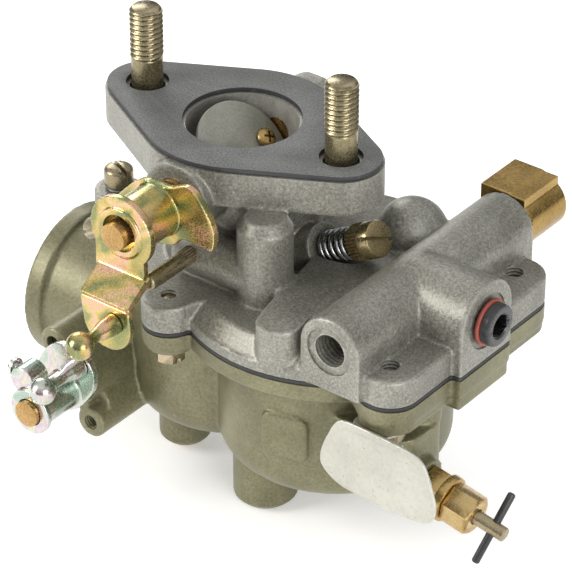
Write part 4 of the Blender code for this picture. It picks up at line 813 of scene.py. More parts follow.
# %% [markdown]
# The studs are yellow-zinc steel, threaded at their upper ends. A real thread is a helix, and a plain
# stack of rings looks wrong at its ends, so the side is a grid of rows whose radius depends on both height
# and angle: the ridge climbs by one pitch as it goes round.
# %% Helper: a bar with a helical thread
def threaded_bar(name, start, direction, length, radius, pitch, thread_from, thread_to, depth=0.62,
                 neck=0.0, chamfer=1.0, around=48):
    rows_per_pitch = 7
    count = int(length / (pitch / rows_per_pitch))
    bm = bmesh.new()
    rings = []
    for i in range(count + 1):
        height = length * i / count
        ring = []
        for j in range(around):
            angle = math.tau * j / around
            phase = (height / pitch - j / around) % 1.0
            tooth = min(1.0, max(0.0, 2.6 * abs(phase - 0.5) - 0.15))
            into = min(height - thread_from, thread_to - height)
            blend = min(1.0, max(0.0, into / (0.6 * pitch) + 0.5))
            r = radius - depth * tooth * blend - neck * (1 - blend) * (height < thread_from)
            edge = min(height, length - height)
            if edge < chamfer:
                r = min(r, radius - (chamfer - edge))
            ring.append(bm.verts.new((r * math.cos(angle), r * math.sin(angle), height)))
        rings.append(ring)
    for low, high in zip(rings, rings[1:]):
        for j in range(around):
            k = (j + 1) % around
            bm.faces.new((low[j], low[k], high[k], high[j]))
    bm.faces.new(list(reversed(rings[0])))
    bm.faces.new(rings[-1])
    bmesh.ops.transform(bm, matrix=turn_to(Vector(start), Vector(direction)), verts=bm.verts)
    return shaded(keep(name, bm), 50)


# %% Studs
STUD_FOOT, STUD_LENGTH, STUD_RADIUS, STUD_PITCH = -11.6, 35.0, 4.76, 1.59
for side, spot in STUDS.items():
    bar = threaded_bar(f"stud_{side}_bar", (spot.x, 0, STUD_FOOT), Z, STUD_LENGTH, STUD_RADIUS, STUD_PITCH,
                       19.8, 34.2, neck=0.25)
    install(bar, f"stud_{side}", dull_zinc)
print("stud:", len(bar.data.polygons), "faces")


# %% [markdown]
# The throttle shaft is a copper-washed steel rod with a flat milled in its middle for the butterfly
# plate. The plate lies on the flat and two screws hold it. The screws are dome-headed with a cross
# recess, and their threaded ends stand out on the other side, where they are staked.
# %% Helpers: screws
def cross_recess(start, direction, width=0.7, reach=1.7, depth=1.2, turn=0.5):
    """Two crossed blocks that sink a cross into a screw's head from its top at start."""
    frame_here = turn_to(Vector(start), Vector(direction)) @ Matrix.Rotation(turn, 4, "Z")
    first = block((-reach, -width / 2, -depth), (reach, width / 2, 2), frame_here)
    second = block((-width / 2, -reach, -depth), (width / 2, reach, 2), frame_here)
    return first, second


def slot_tool(start, direction, width, reach, depth, turn=0.0):
    frame_here = turn_to(Vector(start), Vector(direction)) @ Matrix.Rotation(turn, 4, "Z")
    return block((-reach, -width / 2, -depth), (reach, width / 2, 3), frame_here)


def plate_screw(name, spot, direction, head_r, seat, turn):
    """A domed screw whose head sits at the height seat above its spot."""
    head_top = seat + 1.95
    profile = [(0, head_top), (1.0, head_top - 0.05), (1.9, head_top - 0.3), (2.5, head_top - 0.75)]
    profile += [(head_r - 0.1, head_top - 1.35), (head_r, seat + 0.25), (head_r - 0.1, seat), (1.5, seat)]
    profile += list(reversed(ridges(1.5, 0.16, 0.5, -3.5, seat - 0.2))) + [(0, -3.6)]
    made = lathe(profile, spot, direction, sides=40, name=name)
    top = Vector(spot) + Vector(direction) * head_top
    return shaded(cut(made, *cross_recess(top, direction, turn=turn)), 40)


def drills(centre, spots, normal, reach):
    """A drill through each spot, along the normal and the same length either side."""
    return [rod(centre + at - normal * reach, centre + at + normal * reach, 1.9, sides=32)
            for at in spots.values()]


# %% [markdown]
# The plate turns with its shaft, so both are made at the angle that they have at rest. Each screw's hole
# goes through the shaft and the plate on one line, and the flat is cut with a turned block.
# %% The throttle shaft, its plate and screws
throttle_open = math.radians(47)
plate_normal = Vector((math.sin(throttle_open), 0, math.cos(throttle_open)))
shaft = along_y(THROTTLE, -56.2, 28.4, 3.95, sides=72)
saw_cut = block((-15.2, -16, -0.95), (15.2, 16, 5),
                Matrix.Translation(THROTTLE) @ Matrix.Rotation(throttle_open, 4, "Y"))
spots = {"front": Y * -8, "rear": Y * 9.5}
cut(shaft, saw_cut, *drills(THROTTLE, spots, plate_normal, 6))
install(rounded(shaft, 0.5, 3), "throttle_shaft", copper)

plate = rod(THROTTLE - plate_normal * 0.65, THROTTLE + plate_normal * 0.65, 15.55, sides=128)
cut(plate, *drills(THROTTLE, spots, plate_normal, 4))
install(rounded(plate, 0.22, 3), "throttle_plate", plate_grey)
for side, turn in (("front", 0.4), ("rear", 1.0)):
    made = plate_screw(f"plate_screw_{side}", THROTTLE + spots[side], plate_normal, 3.1, 0.95, turn)
    install(made, f"throttle_plate_screw_{side}", brass)
print("throttle open by", round(math.degrees(throttle_open)), "degrees")


# %% [markdown]
# The throttle lever is stamped and folded from one strip: a ring in front, a tube, a fan-shaped stop
# plate behind, and an arm that steps forward and hangs down. Stamping rounds every edge a little, so the
# pieces are fused with a fine voxel, then the eye and holes are cut with clean walls.
# %% Helper: an outline in the XZ plane
def upright_sheet(outline, near, far, name="plate"):
    """A plate whose outline is given by x and z, between two values of y."""
    middle = Matrix.Translation((0, (near + far) / 2, 0)) @ Matrix.Rotation(math.pi / 2, 4, "X")
    return sheet(outline, far - near, middle, name)


def smooth_outline(points, rounds=3):
    """Corner cutting: each corner is replaced by two points, again and again."""
    for _ in range(rounds):
        cut_points = []
        for first, second in zip(points, points[1:] + points[:1]):
            cut_points.append((first[0] * 0.75 + second[0] * 0.25, first[1] * 0.75 + second[1] * 0.25))
            cut_points.append((first[0] * 0.25 + second[0] * 0.75, first[1] * 0.25 + second[1] * 0.75))
        points = cut_points
    return points


def shifted(outline, centre):
    return [(centre.x + x, centre.z + z) for x, z in outline]


# %% [markdown]
# The fan is an irregular stamped shape, so its outline is a few listed points that go round the shaft
# from the top, and corner cutting rounds them into one smooth edge.
# %% The throttle lever
def throttle_lever():
    fan = [(0.6, 8.0), (4.4, 8.2), (7.6, 9.9), (10.3, 10.9), (12.7, 10.2), (15.3, 7.6), (17.2, 5.0)]
    fan += [(19.3, 1.8), (20.0, -1.1), (19.8, -4.6), (18.9, -6.6), (15.9, -6.3), (11.4, -6.2), (8.3, -6.4)]
    fan += [(6.8, -8.6), (3.6, -10.4), (-1.0, -10.8), (-6.0, -9.0), (-9.5, -6.2), (-14.2, -5.8)]
    fan += [(-15.4, -3.4), (-14.2, -0.8), (-11.0, 2.6), (-8.3, 5.5), (-5.6, 7.4), (-2.6, 8.2)]
    outward = Vector((-0.88, 0, -0.47)).normalized()
    clamp = THROTTLE + Y * -45.0 + outward * 4.25
    top_z, bend_z, low, step = -24.6, -30.0, -35.8, 8.2
    lean = [(-52.8, top_z - 0.2), (-50.6, top_z + 0.9), (-50.6, top_z - 0.9), (-50.6 - step, bend_z - 0.7)]
    lean += [(-52.8 - step, bend_z + 0.9), (-52.8, top_z + 1.1)]
    across = Matrix(((0, 0, 1, 0.1), (1, 0, 0, 0), (0, 1, 0, 0), (0, 0, 0, 1)))
    foot = [(-8.0, bend_z), (8.9, bend_z), (9.4, low)] + arc(1.1, low, 8.3, -10, -170, 28) + [(-7.2, low)]
    pieces = [
        along_y(THROTTLE, -52.8, -50.6, 10.6, sides=96),
        along_y(THROTTLE, -53.5, -50.6, 7.4),
        along_y(THROTTLE, -51.1, -36.9, 7.8),
        rod(clamp - outward * 2, clamp + outward * 8.6, 4.6),
        upright_sheet(smooth_outline(shifted(fan, THROTTLE), 2), -37.6, -35.4),
        block((-9.1, -52.8, top_z), (7.7, -50.6, THROTTLE.z - 3)),
        sheet(lean, 16.7, across),
        upright_sheet(foot, -52.8 - step, -50.6 - step),
    ]
    made = fused("throttle_lever_piece", pieces, 0.3, 4)
    stud_spot = Vector((3.8, -61.3, -34.9))
    cut(made, along_y(THROTTLE, -56, -49.8, 5.6), along_y(THROTTLE, -56, -34, 4.25),
        along_y(stud_spot, -70, -50, 2.5), rod(clamp, clamp + outward * 16, 1.9))
    return shaded(made, 40), clamp, outward, stud_spot


lever, clamp, outward, stud_spot = throttle_lever()
install(lever, "throttle_lever", yellow_zinc)
print("throttle lever:", len(lever.data.polygons), "faces")


# %% [markdown]
# Ball studs carry the linkage: a ball on a flared neck, riveted through the arm. A small flat is left on
# the ball's nose by the cutting-off tool. The clamp screw grips the lever on the shaft.
# %% Ball studs and clamp screws
def ball_stud(name, root, length):
    """A stud whose ball's centre is a length in front of its root."""
    neck = 1.9
    join_angle = math.degrees(math.acos(neck / BALL_RADIUS))
    profile = [(0, length + BALL_RADIUS - 0.45), (1.45, length + BALL_RADIUS - 0.5)]
    profile += arc(0, length, BALL_RADIUS, 66, -join_angle + 4, 20)
    profile += [(neck - 0.05, length - 3.9), (neck - 0.15, 8.2), (neck + 0.1, 6.2), (2.5, 4.8), (2.75, 3.4)]
    profile += [(2.95, 1.2), (3.1, 0.3), (3.05, 0), (2.2, 0), (2.2, -2.7), (1.9, -3.0), (0, -3.0)]
    return shaded(lathe(profile, root, -Y, sides=56, name=name), 35)


BALL_RADIUS = 3.95
install(ball_stud("throttle_ball", stud_spot, 13.7), "throttle_ball_stud", yellow_zinc)
profile = [(0, 15.4), (2.7, 15.4), (3.05, 15.2), (3.3, 14.7), (3.3, 10.7), (3.6, 10.5), (4.2, 10.4)]
profile += [(4.25, 10.0), (4.2, 9.0), (1.6, 8.9)]
profile += list(reversed(ridges(1.6, 0.2, 0.7, 0.8, 8.6))) + [(1.3, 0.4), (0, 0.4)]
clamp_screw = lathe(profile, clamp, outward, sides=48)
cut(clamp_screw, slot_tool(clamp + outward * 15.4, outward, 0.95, 6, 1.5, 0.15))
install(rounded(clamp_screw, 0.12, 2, 50), "throttle_clamp_screw", dull_zinc)
print("balls", 2 * BALL_RADIUS, "mm across")


# %% [markdown]
# The choke is the same scheme with silver plating: a shaft right through the horn with its plate flat,
# a rounded lever plate close to the boss, a hub with a clamping lug, and a disc in front.
# %% The choke group
choke_shaft = along_y(CHOKE, -64, 23.4, 3.95, sides=72)
choke_spots = {"front": Y * -9, "rear": Y * 9}
cut(choke_shaft, block((-5, -20.2, -0.9), (5, 20.2, 0.9), Matrix.Translation(CHOKE)),
    *drills(CHOKE, choke_spots, Z, 6))
install(rounded(choke_shaft, 0.35, 3), "choke_shaft", copper)
choke_plate = rod(CHOKE - Z * 0.6, CHOKE + Z * 0.6, 19.8, sides=128)
cut(choke_plate, *drills(CHOKE, choke_spots, Z, 4))
install(rounded(choke_plate, 0.22, 3), "choke_plate", plate_grey)
for side, at in choke_spots.items():
    made = plate_screw(f"choke_screw_{side}", CHOKE + at, Z, 2.8, 4.25, 0.7)
    install(made, f"choke_plate_screw_{side}", brass)
print("choke plate flat, horn open")


# %% The choke lever
def choke_lever():
    corners = [(1.0, 15.0), (5.0, 14.8), (8.9, 12.9), (11.2, 9.4), (10.9, 3.0), (7.6, -2.0), (3.9, -6.1)]
    corners += [(0, -7.8), (-5.2, -6.2), (-8.5, -2.0), (-10.0, 3.0), (-9.3, 7.2), (-5.7, 12.2), (-2.6, 14.5)]
    root = CHOKE + Vector((6.0, 0, 10.0))
    clamp_start = CHOKE + Vector((-3.6, -57.6, 9.0))
    pieces = [
        upright_sheet(smooth_outline(shifted(corners, CHOKE), 2), -47.4, -45.2),
        along_y(CHOKE, -61.2, -47.0, 5.8),
        along_y(CHOKE, -62.6, -60.8, 7.0),
        along_y(CHOKE + Vector((-3.8, 0, 8.0)), -60.9, -54.2, 4.2),
        along_y(CHOKE + Vector((-2.0, 0, 4.0)), -60.9, -54.2, 4.0),
    ]
    made = fused("choke_lever_piece", pieces, 0.3, 4)
    cut(made, along_y(CHOKE, -70, -40, 4.25), along_y(Vector((root.x, 0, root.z)), -52, -44, 2.5),
        rod(clamp_start, clamp_start - X * 12, 1.9))
    return shaded(made, 40), Vector((root.x, -47.7, root.z)), clamp_start


made, root, clamp_start = choke_lever()
install(made, "choke_lever", silver_zinc)
install(ball_stud("choke_ball", root, 15.4), "choke_ball_stud", silver_zinc)
profile = [(0, 6.9), (1.9, 6.85), (2.4, 6.5), (2.7, 6.0), (2.7, 5.0), (2.55, 4.9), (1.6, 4.9)]
profile += list(reversed(ridges(1.6, 0.2, 0.6, 0.6, 4.6))) + [(1.3, 0.4), (0, 0.4)]
choke_clamp = lathe(profile, clamp_start, -X, sides=48)
cut(choke_clamp, slot_tool(clamp_start - X * 6.9, -X, 0.8, 6, 1.2, 0.9))
install(shaded(choke_clamp, 40), "choke_clamp_screw", silver_zinc)
print("choke lever:", len(made.data.polygons), "faces")


# %% [markdown]
# The stop pin is pressed into its boss on a splined foot, and its nose is rounded. Splines are long thin
# ridges, so the foot is a gear-like outline given a length. The bushings are plain rings in the bosses.
# %% Stop pin and bushings
def splined(spot, near, far, radius, depth, teeth):
    outline = []
    for i in range(teeth * 4):
        angle = math.tau * i / (teeth * 4)
        reach = radius if i % 4 in (0, 1) else radius - depth
        outline.append((spot.x + reach * math.cos(angle), spot.z + reach * math.sin(angle)))
    return upright_sheet(outline, near, far, "splines")


nose = [(0, 48)] + arc(1.3, 46.9, 1.1, 90, 0, 6) + [(2.4, 31.4), (2.15, 31.2), (2.15, 18.4), (0, 18.4)]
pin = lathe(nose, STOP_PIN, -Y, sides=56)
foot = splined(STOP_PIN, -33.4, -18.6, 2.56, 0.28, 18)
pin = shaded(merged("stop_pin_piece", [pin, foot]), 30)
install(pin, "stop_pin", dull_zinc)
for side, near, far in (("front", -31.4, -22.3), ("rear", 23.3, 28.2)):
    bush = along_y(THROTTLE, near, far, 5.7, sides=72)
    cut(bush, along_y(THROTTLE, near - 1, far + 1, 4.15, sides=72))
    install(rounded(bush, 0.3, 3), f"throttle_bushing_{side}", copper)
print("stop pin 4.8 mm across")


# %% [markdown]
# The idle mixture screw stands on a slope: a brass head with a fine knurl and a screwdriver slot, and a
# spring under it that keeps it from turning by itself. A knurl is a ring of small ridges, so the head's
# profile is drawn as a many-toothed outline and given a length, between two turned collars.
# %% The idle mixture screw
def knurled(start, direction, low, high, radius, depth, teeth):
    outline = []
    for i in range(teeth * 3):
        angle = math.tau * i / (teeth * 3)
        reach = radius if i % 3 == 0 else radius - depth * (0.5 if i % 3 == 1 else 1.0)
        outline.append((reach * math.cos(angle), reach * math.sin(angle)))
    middle = turn_to(Vector(start), Vector(direction)) @ Matrix.Translation((0, 0, (low + high) / 2))
    return sheet(outline, high - low, middle, "knurl")


HEAD_FOOT, HEAD_TOP = 11.8, 20.4
profile = [(0, HEAD_TOP), (4.7, HEAD_TOP), (5.1, 20.2), (5.3, 19.8), (5.3, 16.4), (4.7, 16.2), (4.7, 12.1)]
profile += [(4.5, HEAD_FOOT), (2.2, HEAD_FOOT), (2.2, 2.2)]
profile += list(reversed(ridges(2.2, 0.22, 0.8, -12, 2))) + [(2.0, -12.2), (0.4, -17), (0, -17)]
idle = lathe(profile, IDLE_FACE, IDLE_AXIS, sides=72)
cut(idle, slot_tool(IDLE_FACE + IDLE_AXIS * HEAD_TOP, IDLE_AXIS, 1.0, 6, 1.8, math.radians(155)))
band = knurled(IDLE_FACE, IDLE_AXIS, 12.0, 16.3, 5.3, 0.6, 30)
cut(band, rod(IDLE_FACE + IDLE_AXIS * 11, IDLE_FACE + IDLE_AXIS * 20, 4.4))
install(shaded(merged("idle_screw_piece", [idle, band]), 28), "idle_mixture_screw", aged_brass)
print("idle screw head", round(HEAD_TOP - HEAD_FOOT, 1), "mm long")


# %% [markdown]
# A spring is a circle carried along a helix. Making its rings in mesh code keeps the ends closed and
# flat. The coils pack together at both ends, as on a ground compression spring.
# %% The idle spring
def coil(name, start, direction, length, radius, wire, turns, around=12, per_turn=28):
    count = int(turns * per_turn)
    path = []
    for i in range(count + 1):
        share = i / count
        packed = share + 0.55 / turns * math.sin(math.tau * share) * -0.35
        angle = math.tau * turns * share
        height = wire + (length - 2 * wire) * packed
        path.append(Vector((radius * math.cos(angle), radius * math.sin(angle), height)))
    bm = bmesh.new()
    rings = []
    for i, middle in enumerate(path):
        ahead = (path[min(i + 1, count)] - path[max(i - 1, 0)]).normalized()
        outward = Vector((middle.x, middle.y, 0)).normalized()
        upward = ahead.cross(outward)
        ring = []
        for j in range(around):
            angle = math.tau * j / around
            spoke = outward * math.cos(angle) + upward * math.sin(angle)
            ring.append(bm.verts.new(middle + spoke * wire))
        rings.append(ring)
    for low, high in zip(rings, rings[1:]):
        for j in range(around):
            k = (j + 1) % around
            bm.faces.new((low[j], low[k], high[k], high[j]))
    bm.faces.new(list(reversed(rings[0])))
    bm.faces.new(rings[-1])
    bmesh.ops.transform(bm, matrix=turn_to(start, direction), verts=bm.verts)
    return shaded(keep(name, bm), 50)


spring = coil("idle_spring_coil", IDLE_FACE + IDLE_AXIS * 0.3, IDLE_AXIS, 11.2, 4.2, 0.72, 5.0)
install(spring, "idle_spring", steel)
print("spring:", len(spring.data.polygons), "faces")


# %% [markdown]
# The bowl is held by four slotted hex screws from below and one round slotted screw from above at the
# left ear, each on a split lock washer. Forged hex heads have a rounded crown, which is the head cut by
# a shallow cone, and the washers are split rings whose two ends stand a little apart.
# %% Helpers: hex heads and split washers
def hexed(name, start, direction, across_flats, length, crown=0.9, turn=0.0):
    """A hexagonal bar whose far end is turned to a chamfer."""
    start, direction = Vector(start), Vector(direction).normalized()
    corner, flat = across_flats / math.sqrt(3), across_flats / 2
    placed = turn_to(start, direction)
    middle = placed @ Matrix.Rotation(turn, 4, "Z") @ Matrix.Translation((0, 0, length / 2))
    bm = bmesh.new()
    bmesh.ops.create_cone(
        bm, cap_ends=True, segments=6, radius1=corner, radius2=corner, depth=length, matrix=middle
    )
    bar = keep(name, bm)
    profile = [(corner + 2, length + 2), (corner + 2, length - crown - 0.9)]
    profile += [(corner + 0.02, length - crown + 0.25)]
    profile += [(flat - 0.25, length + 0.01), (flat - 0.25, length + 2)]
    bm = bmesh.new()
    ring = [bm.verts.new((r, 0, z)) for r, z in profile]
    face = bm.faces.new(ring)
    swept = [face, *face.edges, *ring]
    bmesh.ops.spin(bm, geom=swept, axis=(0, 0, 1), cent=(0, 0, 0), angle=math.tau, steps=64)
    bmesh.ops.remove_doubles(bm, verts=bm.verts, dist=1e-3)
    inner = [one for one in bm.faces if abs(one.calc_center_median().y) < 1e-3 and one.calc_area() > 1
             and abs(one.normal.y) > 0.99 and one.calc_center_median().x > 0]
    bmesh.ops.delete(bm, geom=inner, context="FACES_ONLY")
    bmesh.ops.transform(bm, matrix=placed, verts=bm.verts)
    return cut(bar, keep("crown", bm))


def split_washer(name, centre, low, high, radius, eye, turn):
    made = rod((centre.x, centre.y, low), (centre.x, centre.y, high), radius, sides=72)
    gap = Matrix.Translation((centre.x, centre.y, (low + high) / 2)) @ Matrix.Rotation(turn, 4, "Z")
    gap = gap @ Matrix.Rotation(0.5, 4, "X")
    cut(made, rod((centre.x, centre.y, low - 1), (centre.x, centre.y, high + 1), eye, sides=48),
        block((0.5, -0.35, -3), (radius + 2, 0.35, 3), gap))
    made.name = name
    return rounded(made, 0.12, 2, 50)


# %% [markdown]
# For each ear there is a seat height, the height of the screw's tip and a turn. The turns differ, because
# no two screws stop at the same angle.
# %% Body screws and washers
seats = {
    "front": (FRONT_EAR, -53.1, -38.0, 0.2),
    "rear": (REAR_EAR, -53.1, -38.0, 0.5),
    "right_front": (RIGHT_EAR, -55.9, -40.5, 0.9),
    "right_rear": (FAR_EAR, -54.6, -40.5, 0.3),
}
for side, (ear, seat, tip, turn) in seats.items():
    top = seat - 1.4
    washer = split_washer(f"washer_{side}", ear, top + 0.3, seat - 0.3, 4.2, 2.65, turn * 3)
    install(washer, f"lock_washer_{side}", steel)
    head = hexed(f"head_{side}", (ear.x, ear.y, top), -Z, 7.6, 3.4, 0.7, turn)
    cut(head, slot_tool((ear.x, ear.y, top - 3.4), -Z, 1.2, 6, 1.4, turn))
    shank = threaded_bar("shank", (ear.x, ear.y, tip), -Z, tip - top + 0.4, 2.4, 0.85, 0.4, 12, depth=0.3,
                         chamfer=0.5, around=32)
    screw = merged(f"screw_{side}", [rounded(head, 0.12, 2, 25), shank])
    install(screw, f"body_screw_{side}", dull_zinc)
washer = split_washer("washer_left", LEFT_EAR, -39.3, -38.6, 4.0, 2.65, 2.2)
install(washer, "lock_washer_left", steel)
profile = [(0, -32.2), (2.2, -32.3), (3.4, -32.65), (4.1, -33.2), (4.3, -33.7), (4.3, -38.2)]
profile += [(4.1, -38.3), (2.4, -38.3)]
profile += list(reversed(ridges(2.4, 0.3, 0.85, -50.6, -38.6))) + [(2.0, -51), (0, -51)]
fillister = lathe(profile, LEFT_EAR, Z, sides=72)
cut(fillister, slot_tool((LEFT_EAR.x, LEFT_EAR.y, -32.2), Z, 1.25, 6, 1.9, math.radians(-23)))
install(rounded(fillister, 0.12, 2, 40), "body_screw_left", dull_zinc)
print("five screws, five split washers")


# %% [markdown]
# The fuel comes in through a brass street elbow: a squared body forged round a drilled port, a turned
# collar and a threaded shank that screws into the tunnel. Its port faces left. The other end of the
# gallery is closed by a black plug with a hex socket, on a red fibre seal.
# %% The fuel elbow
near, far = 42.8, 59.8
middle_y = (near + far) / 2
elbow_pieces = [
    along_y(Vector((61.1, 0, -32)), near, far, 8.2, sides=96),
    block((TUNNEL.x - 9.4, near, TUNNEL.z - 8.2), (TUNNEL.x + 0.6, far, TUNNEL.z + 9.4)),
    block((TUNNEL.x - 0.4, near, TUNNEL.z), (TUNNEL.x + 5.6, far, TUNNEL.z + 9.0)),
    along_y(TUNNEL, 42.3, 44, 7.6, sides=72),
]
elbow = fused("elbow_body", elbow_pieces, 0.3, 3)
cut(elbow, along_y(TUNNEL, 40, 43.2, 5.9), along_y(TUNNEL, 42, middle_y, 3),
    thread_tool((TUNNEL.x - 9.9, middle_y, TUNNEL.z), X, 5.0, 8.4, pitch=0.95, depth=0.5),
    rod((TUNNEL.x - 9.8, middle_y, TUNNEL.z), (TUNNEL.x - 8.4, middle_y, TUNNEL.z), 5.5, 4.6),
    rod((TUNNEL.x - 2, middle_y, TUNNEL.z), (TUNNEL.x + 2, middle_y, TUNNEL.z), 3))
elbow_shank = threaded_bar("elbow_shank", (TUNNEL.x, 29, TUNNEL.z), Y, 14.2, 6.1, 1.4, 0.3, 13.2, depth=0.5)
cut(elbow_shank, along_y(TUNNEL, 28, 44, 3))
install(merged("fuel_inlet_elbow_piece", [shaded(elbow, 40), elbow_shank]), "fuel_inlet_elbow", brass)
print("elbow body", round(far - near, 1), "mm long")

# %% [markdown]
# The plug is turned, and its socket is a hexagonal bar used as a cutter, with a small lead-in cone. The
# seal is a ring with rounded corners between the plug's head and the boss.
# %% The gallery's plug and seal
seal_profile = [(5.2, 0.3), (6.6, 0.3), (6.85, 0.6), (6.85, 1.1), (6.6, 1.4), (5.2, 1.4), (5.2, 0.3)]
seal = lathe(seal_profile, PLUG_FACE, X, sides=96)
install(shaded(seal, 50), "inlet_plug_seal", red_rubber)
profile = [(0, 4.4), (5.3, 4.4), (5.75, 4.25), (6.05, 3.8), (6.1, 3.3), (6.1, 1.7), (4.9, 1.7)]
profile += list(reversed(ridges(4.9, 0.4, 1.2, -8.8, 1.5))) + [(4.2, -9), (0, -9)]
plug = lathe(profile, PLUG_FACE, X, sides=96)
SOCKET_FLATS = 6.4
socket = hexed("socket", PLUG_FACE + X * 0.5, X, SOCKET_FLATS, 6, 0)
cut(plug, socket, rod(PLUG_FACE + X * 3.9, PLUG_FACE + X * 4.6, 3.4, 4.1))
install(shaded(plug, 30), "inlet_plug", black_steel)
print("plug socket", SOCKET_FLATS, "mm across flats")


# %% [markdown]
# The main needle: a hex housing screwed into the jet boss, a packing nut on it, and a long needle with a
# cross-bar for fingers. The wrench flats are plain, but each end is chamfered, and the needle's outer
# end is domed round the bar.
# %% The needle's housing and packing nut
def along_needle(distance):
    """The point on the needle's axis this far in from its outer end."""
    return NEEDLE_END - NEEDLE_AXIS * distance


housing = hexed("needle_housing", along_needle(20.6), -NEEDLE_AXIS, 11.8, 6.0, 0.5, 0.25)
housing = rounded(housing, 0.15, 2, 25)
collar = rod(along_needle(20.8), along_needle(18.4), 6.9, 6.7, sides=72)
thread = threaded_bar("housing_thread", along_needle(34), NEEDLE_AXIS, 8.0, 4.9, 1.1, 0.4, 6.6, depth=0.4)
shells = [cut(shell, rod(along_needle(40), NEEDLE_END, 2.4))
          for shell in (housing, rounded(collar, 0.2), thread)]
install(merged("needle_valve_housing_piece", shells), "needle_valve_housing", brass)
nut = hexed("packing", along_needle(18.1), NEEDLE_AXIS, 10.4, 8.5, 0.9, 0.1)
cut(nut, rod(along_needle(40), NEEDLE_END, 2.4))
install(rounded(nut, 0.15, 2, 25), "packing_nut", brass)
print("packing nut:", len(nut.data.polygons), "faces")

# %% The needle and its cross-bar
profile = [(0, 0), (1.75, 0), (2.0, -0.12), (2.1, -0.4), (2.1, -33), (0.6, -39), (0, -39)]
stem = lathe(profile, NEEDLE_END, NEEDLE_AXIS, sides=48)
bar_spot = along_needle(3.9)
bar = Vector((0.16, 0.545, 0.823)).normalized()
bar = (bar - NEEDLE_AXIS * bar.dot(NEEDLE_AXIS)).normalized()
cut(stem, rod(bar_spot - bar * 5, bar_spot + bar * 5, 1.25, sides=40))
install(shaded(stem, 35), "main_adjusting_needle", dull_zinc)
end_points = [(1.15, 10.2), (1.05, 10.6), (0.7, 10.85), (0, 10.9)]
profile = [(r, -z) for r, z in reversed(end_points)] + end_points
t_bar = lathe(profile, bar_spot, bar, sides=40)
install(shaded(t_bar, 40), "needle_t_bar", black_steel)
print("cross-bar", 2 * end_points[-1][1], "mm long")


# %% [markdown]
# The tag is thin aluminium sheet: an ear under the right front screw, then a sheet that hangs down from
# a rolled upper edge. Hand-cut corners are round and the sheet isn't quite flat, so its outline has
# smoothed corners and the grid of its face is bowed by a fraction of a millimetre. It stays blank.
# %% The blank tag
def id_tag():
    top, low = -54.9, -55.8
    front_y = -29 - 8.8 - 1.6
    ear = belt([(72.8, -29, 6.6), (71.3, front_y + 6.8, 6.6)], low, top)
    corners = [(61.7, 1.3), (66.2, 2.0), (78.0, 1.6), (86.5, 1.0), (90.6, -0.6), (92.6, -5.0), (94.6, -10.5)]
    corners += [(95.2, -14.5), (94.2, -18.4), (91.0, -20.2), (66.5, -20.4), (61.6, -19.0), (57.6, -15.8)]
    corners += [(56.6, -12.6), (57.6, -8.0)]
    hang = Matrix.Translation((1.2, front_y, low + 1.8)) @ Matrix.Rotation(math.radians(88), 4, "X")
    plate = sheet(smooth_outline(corners, 2), 0.9, hang)
    roll = rod((66.0, front_y + 0.5, low + 1.9), (84.0, front_y + 0.5, low + 1.9), 1.15)
    made = fused("id_tag_piece", [ear, plate, roll], 0.28, 3)
    for vertex in made.data.vertices:
        x, z = vertex.co.x / MM, vertex.co.z / MM
        hanging = min(1.0, max(0.0, (-58 - z) / 8))
        wave = 0.22 * math.sin(x * 0.21) + 0.12 * math.sin(z * 0.5 + x * 0.12)
        vertex.co.y += hanging * wave * MM
    cut(made, upright(RIGHT_EAR, -60, -50, 2.65))
    return shaded(made, 50)


tag = id_tag()
install(tag, "id_tag", tag_metal)
print("tag:", len(tag.data.polygons), "faces")


# %% [markdown]
# The parts inside keep their CAD shapes: the venturi, the discharge nozzle, the jets, the float and its
# valve. They are seen only through the bores, so each just gets its own finish.
# %% Inner parts
inner = {
    "venturi": machined,
    "main_discharge_nozzle": brass,
    "well_plug_front": brass,
    "well_plug_rear": brass,
    "main_jet": brass,
    "idle_jet": brass,
    "inlet_valve_seat": brass,
    "inlet_needle": steel,
    "float": brass,
    "float_lever": brass,
    "float_hinge_pin": steel,
}
for name, look in inner.items():
    mesh = nodes[name].data
    mesh.materials.clear()
    mesh.materials.append(look)
print(len(inner), "inner parts finished")


# %% [markdown]
# The part lies on a plain pale floor, which is just under its lowest point, and it is lit like a product
# on a light table: large soft lamps to both sides and a surround that is bright overhead. The lamps are
# big, so that the turned and plated pieces show broad highlights in place of dots.
# %% The floor
def paper():
    look = bpy.data.materials.new("white paper")
    look.use_nodes = True
    tree = look.node_tree
    shader = tree.nodes["Principled BSDF"]
    shader.inputs["Roughness"].default_value = 0.9
    shader.inputs["Specular IOR Level"].default_value = 0.1
    place = tree.nodes.new("ShaderNodeTexCoord").outputs["Object"]
    fibres = noise_node(tree, place, 300.0, 3.0)
    tree.links.new(remap(tree, fibres.outputs[0], 0, 1, 0.93, 0.97), shader.inputs["Base Color"])
    shader.inputs["Emission Color"].default_value = (1, 1, 1, 1)
    shader.inputs["Emission Strength"].default_value = 0.28
    return look


floor_height = cad_box[0][2] / MM - 0.6
bm = bmesh.new()
level = Matrix.Translation((0, 0, floor_height))
bmesh.ops.create_grid(bm, x_segments=2, y_segments=2, size=2600, matrix=level)
floor = keep("floor", bm)
floor.data.materials.append(paper())
print("floor at", round(floor_height, 1), "mm")


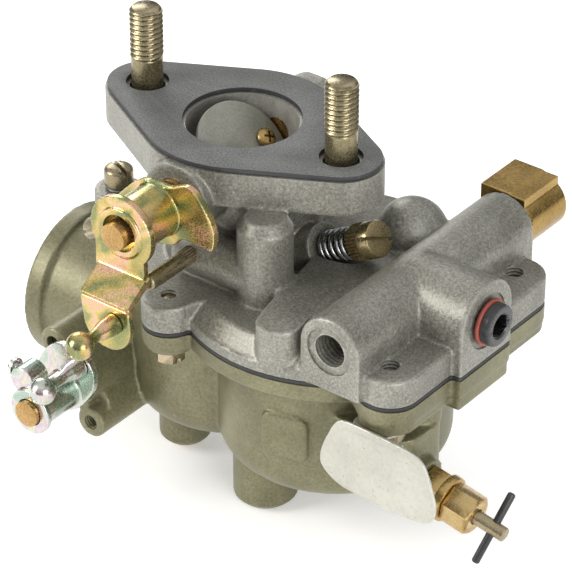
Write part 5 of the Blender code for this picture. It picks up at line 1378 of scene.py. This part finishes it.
# %% [markdown]
# A square lamp throws a soft-edged shadow, and its size against its distance sets how soft. The key lamp
# is on the side of the levers, so they stand out, and a rim lamp lights the part from behind.
# %% Lights
def lamp(name, place, aim_at, size, watts, tint=(1, 1, 1)):
    light = bpy.data.lights.new(name, "AREA")
    light.shape = "SQUARE"
    light.size = size
    light.energy = watts
    light.color = tint
    made = bpy.data.objects.new(name, light)
    place, aim_at = Vector(place), Vector(aim_at)
    aim = (aim_at - place).to_track_quat("-Z", "Y").to_matrix().to_4x4()
    made.matrix_world = Matrix.Translation(place) @ aim
    bpy.context.scene.collection.objects.link(made)


target = (0.012, -0.002, -0.045)
lamp("key lamp", (-0.70, -0.85, 0.50), target, 0.6, 10.5, (1.0, 0.985, 0.96))
lamp("fill lamp", (0.95, -0.45, 0.28), target, 0.6, 6.0)
lamp("rim lamp", (-0.85, 0.55, 0.45), target, 0.5, 4.0)
print("three lamps aimed at", target)

# %% [markdown]
# The surround is dark at the horizon and white overhead, so rounded metal shows a slow change from top to
# side, as it does under a studio's ceiling panel.
# %% The surround
surround = bpy.data.worlds.new("bright surround")
surround.use_nodes = True
tree = surround.node_tree
toward = tree.nodes.new("ShaderNodeSeparateXYZ")
tree.links.new(tree.nodes.new("ShaderNodeTexCoord").outputs["Generated"], toward.inputs[0])
ramp = tree.nodes.new("ShaderNodeValToRGB")
for element, (position, value) in zip(ramp.color_ramp.elements, ((0.05, 0.08), (0.85, 1.0))):
    element.position = position
    element.color = (value, value, value * 1.01, 1)
tree.links.new(toward.outputs["Z"], ramp.inputs[0])
tree.links.new(ramp.outputs["Color"], tree.nodes["Background"].inputs["Color"])
tree.nodes["Background"].inputs["Strength"].default_value = 0.94
bpy.context.scene.world = surround
bpy.context.scene.view_settings.view_transform = "Standard"
print("a surround that brightens upwards")


# %% [markdown]
# The camera looks down on the throttle side from the right front, with a long lens, so the lines of the
# part stay almost parallel as they do in a catalogue picture.
# %% The camera
camera = bpy.data.objects.new("camera", bpy.data.cameras.new("camera"))
bpy.context.scene.collection.objects.link(camera)
camera.data.sensor_width = 36
camera.data.lens = 211.94
azimuth, elevation = math.radians(37.812), math.radians(32.854)
right = Vector((math.cos(azimuth), math.sin(azimuth), 0))
level_back = Vector((math.sin(azimuth), -math.cos(azimuth), 0))
back = level_back * math.cos(elevation) + Z * math.sin(elevation)
up = back.cross(right)
stand = back * 0.930831 + right * 0.012001 - up * 0.046679
camera.matrix_world = Matrix.Translation(stand) @ Matrix((right, up, back)).transposed().to_4x4()
bpy.context.scene.camera = camera
print("camera", round(stand.length, 2), "m away")
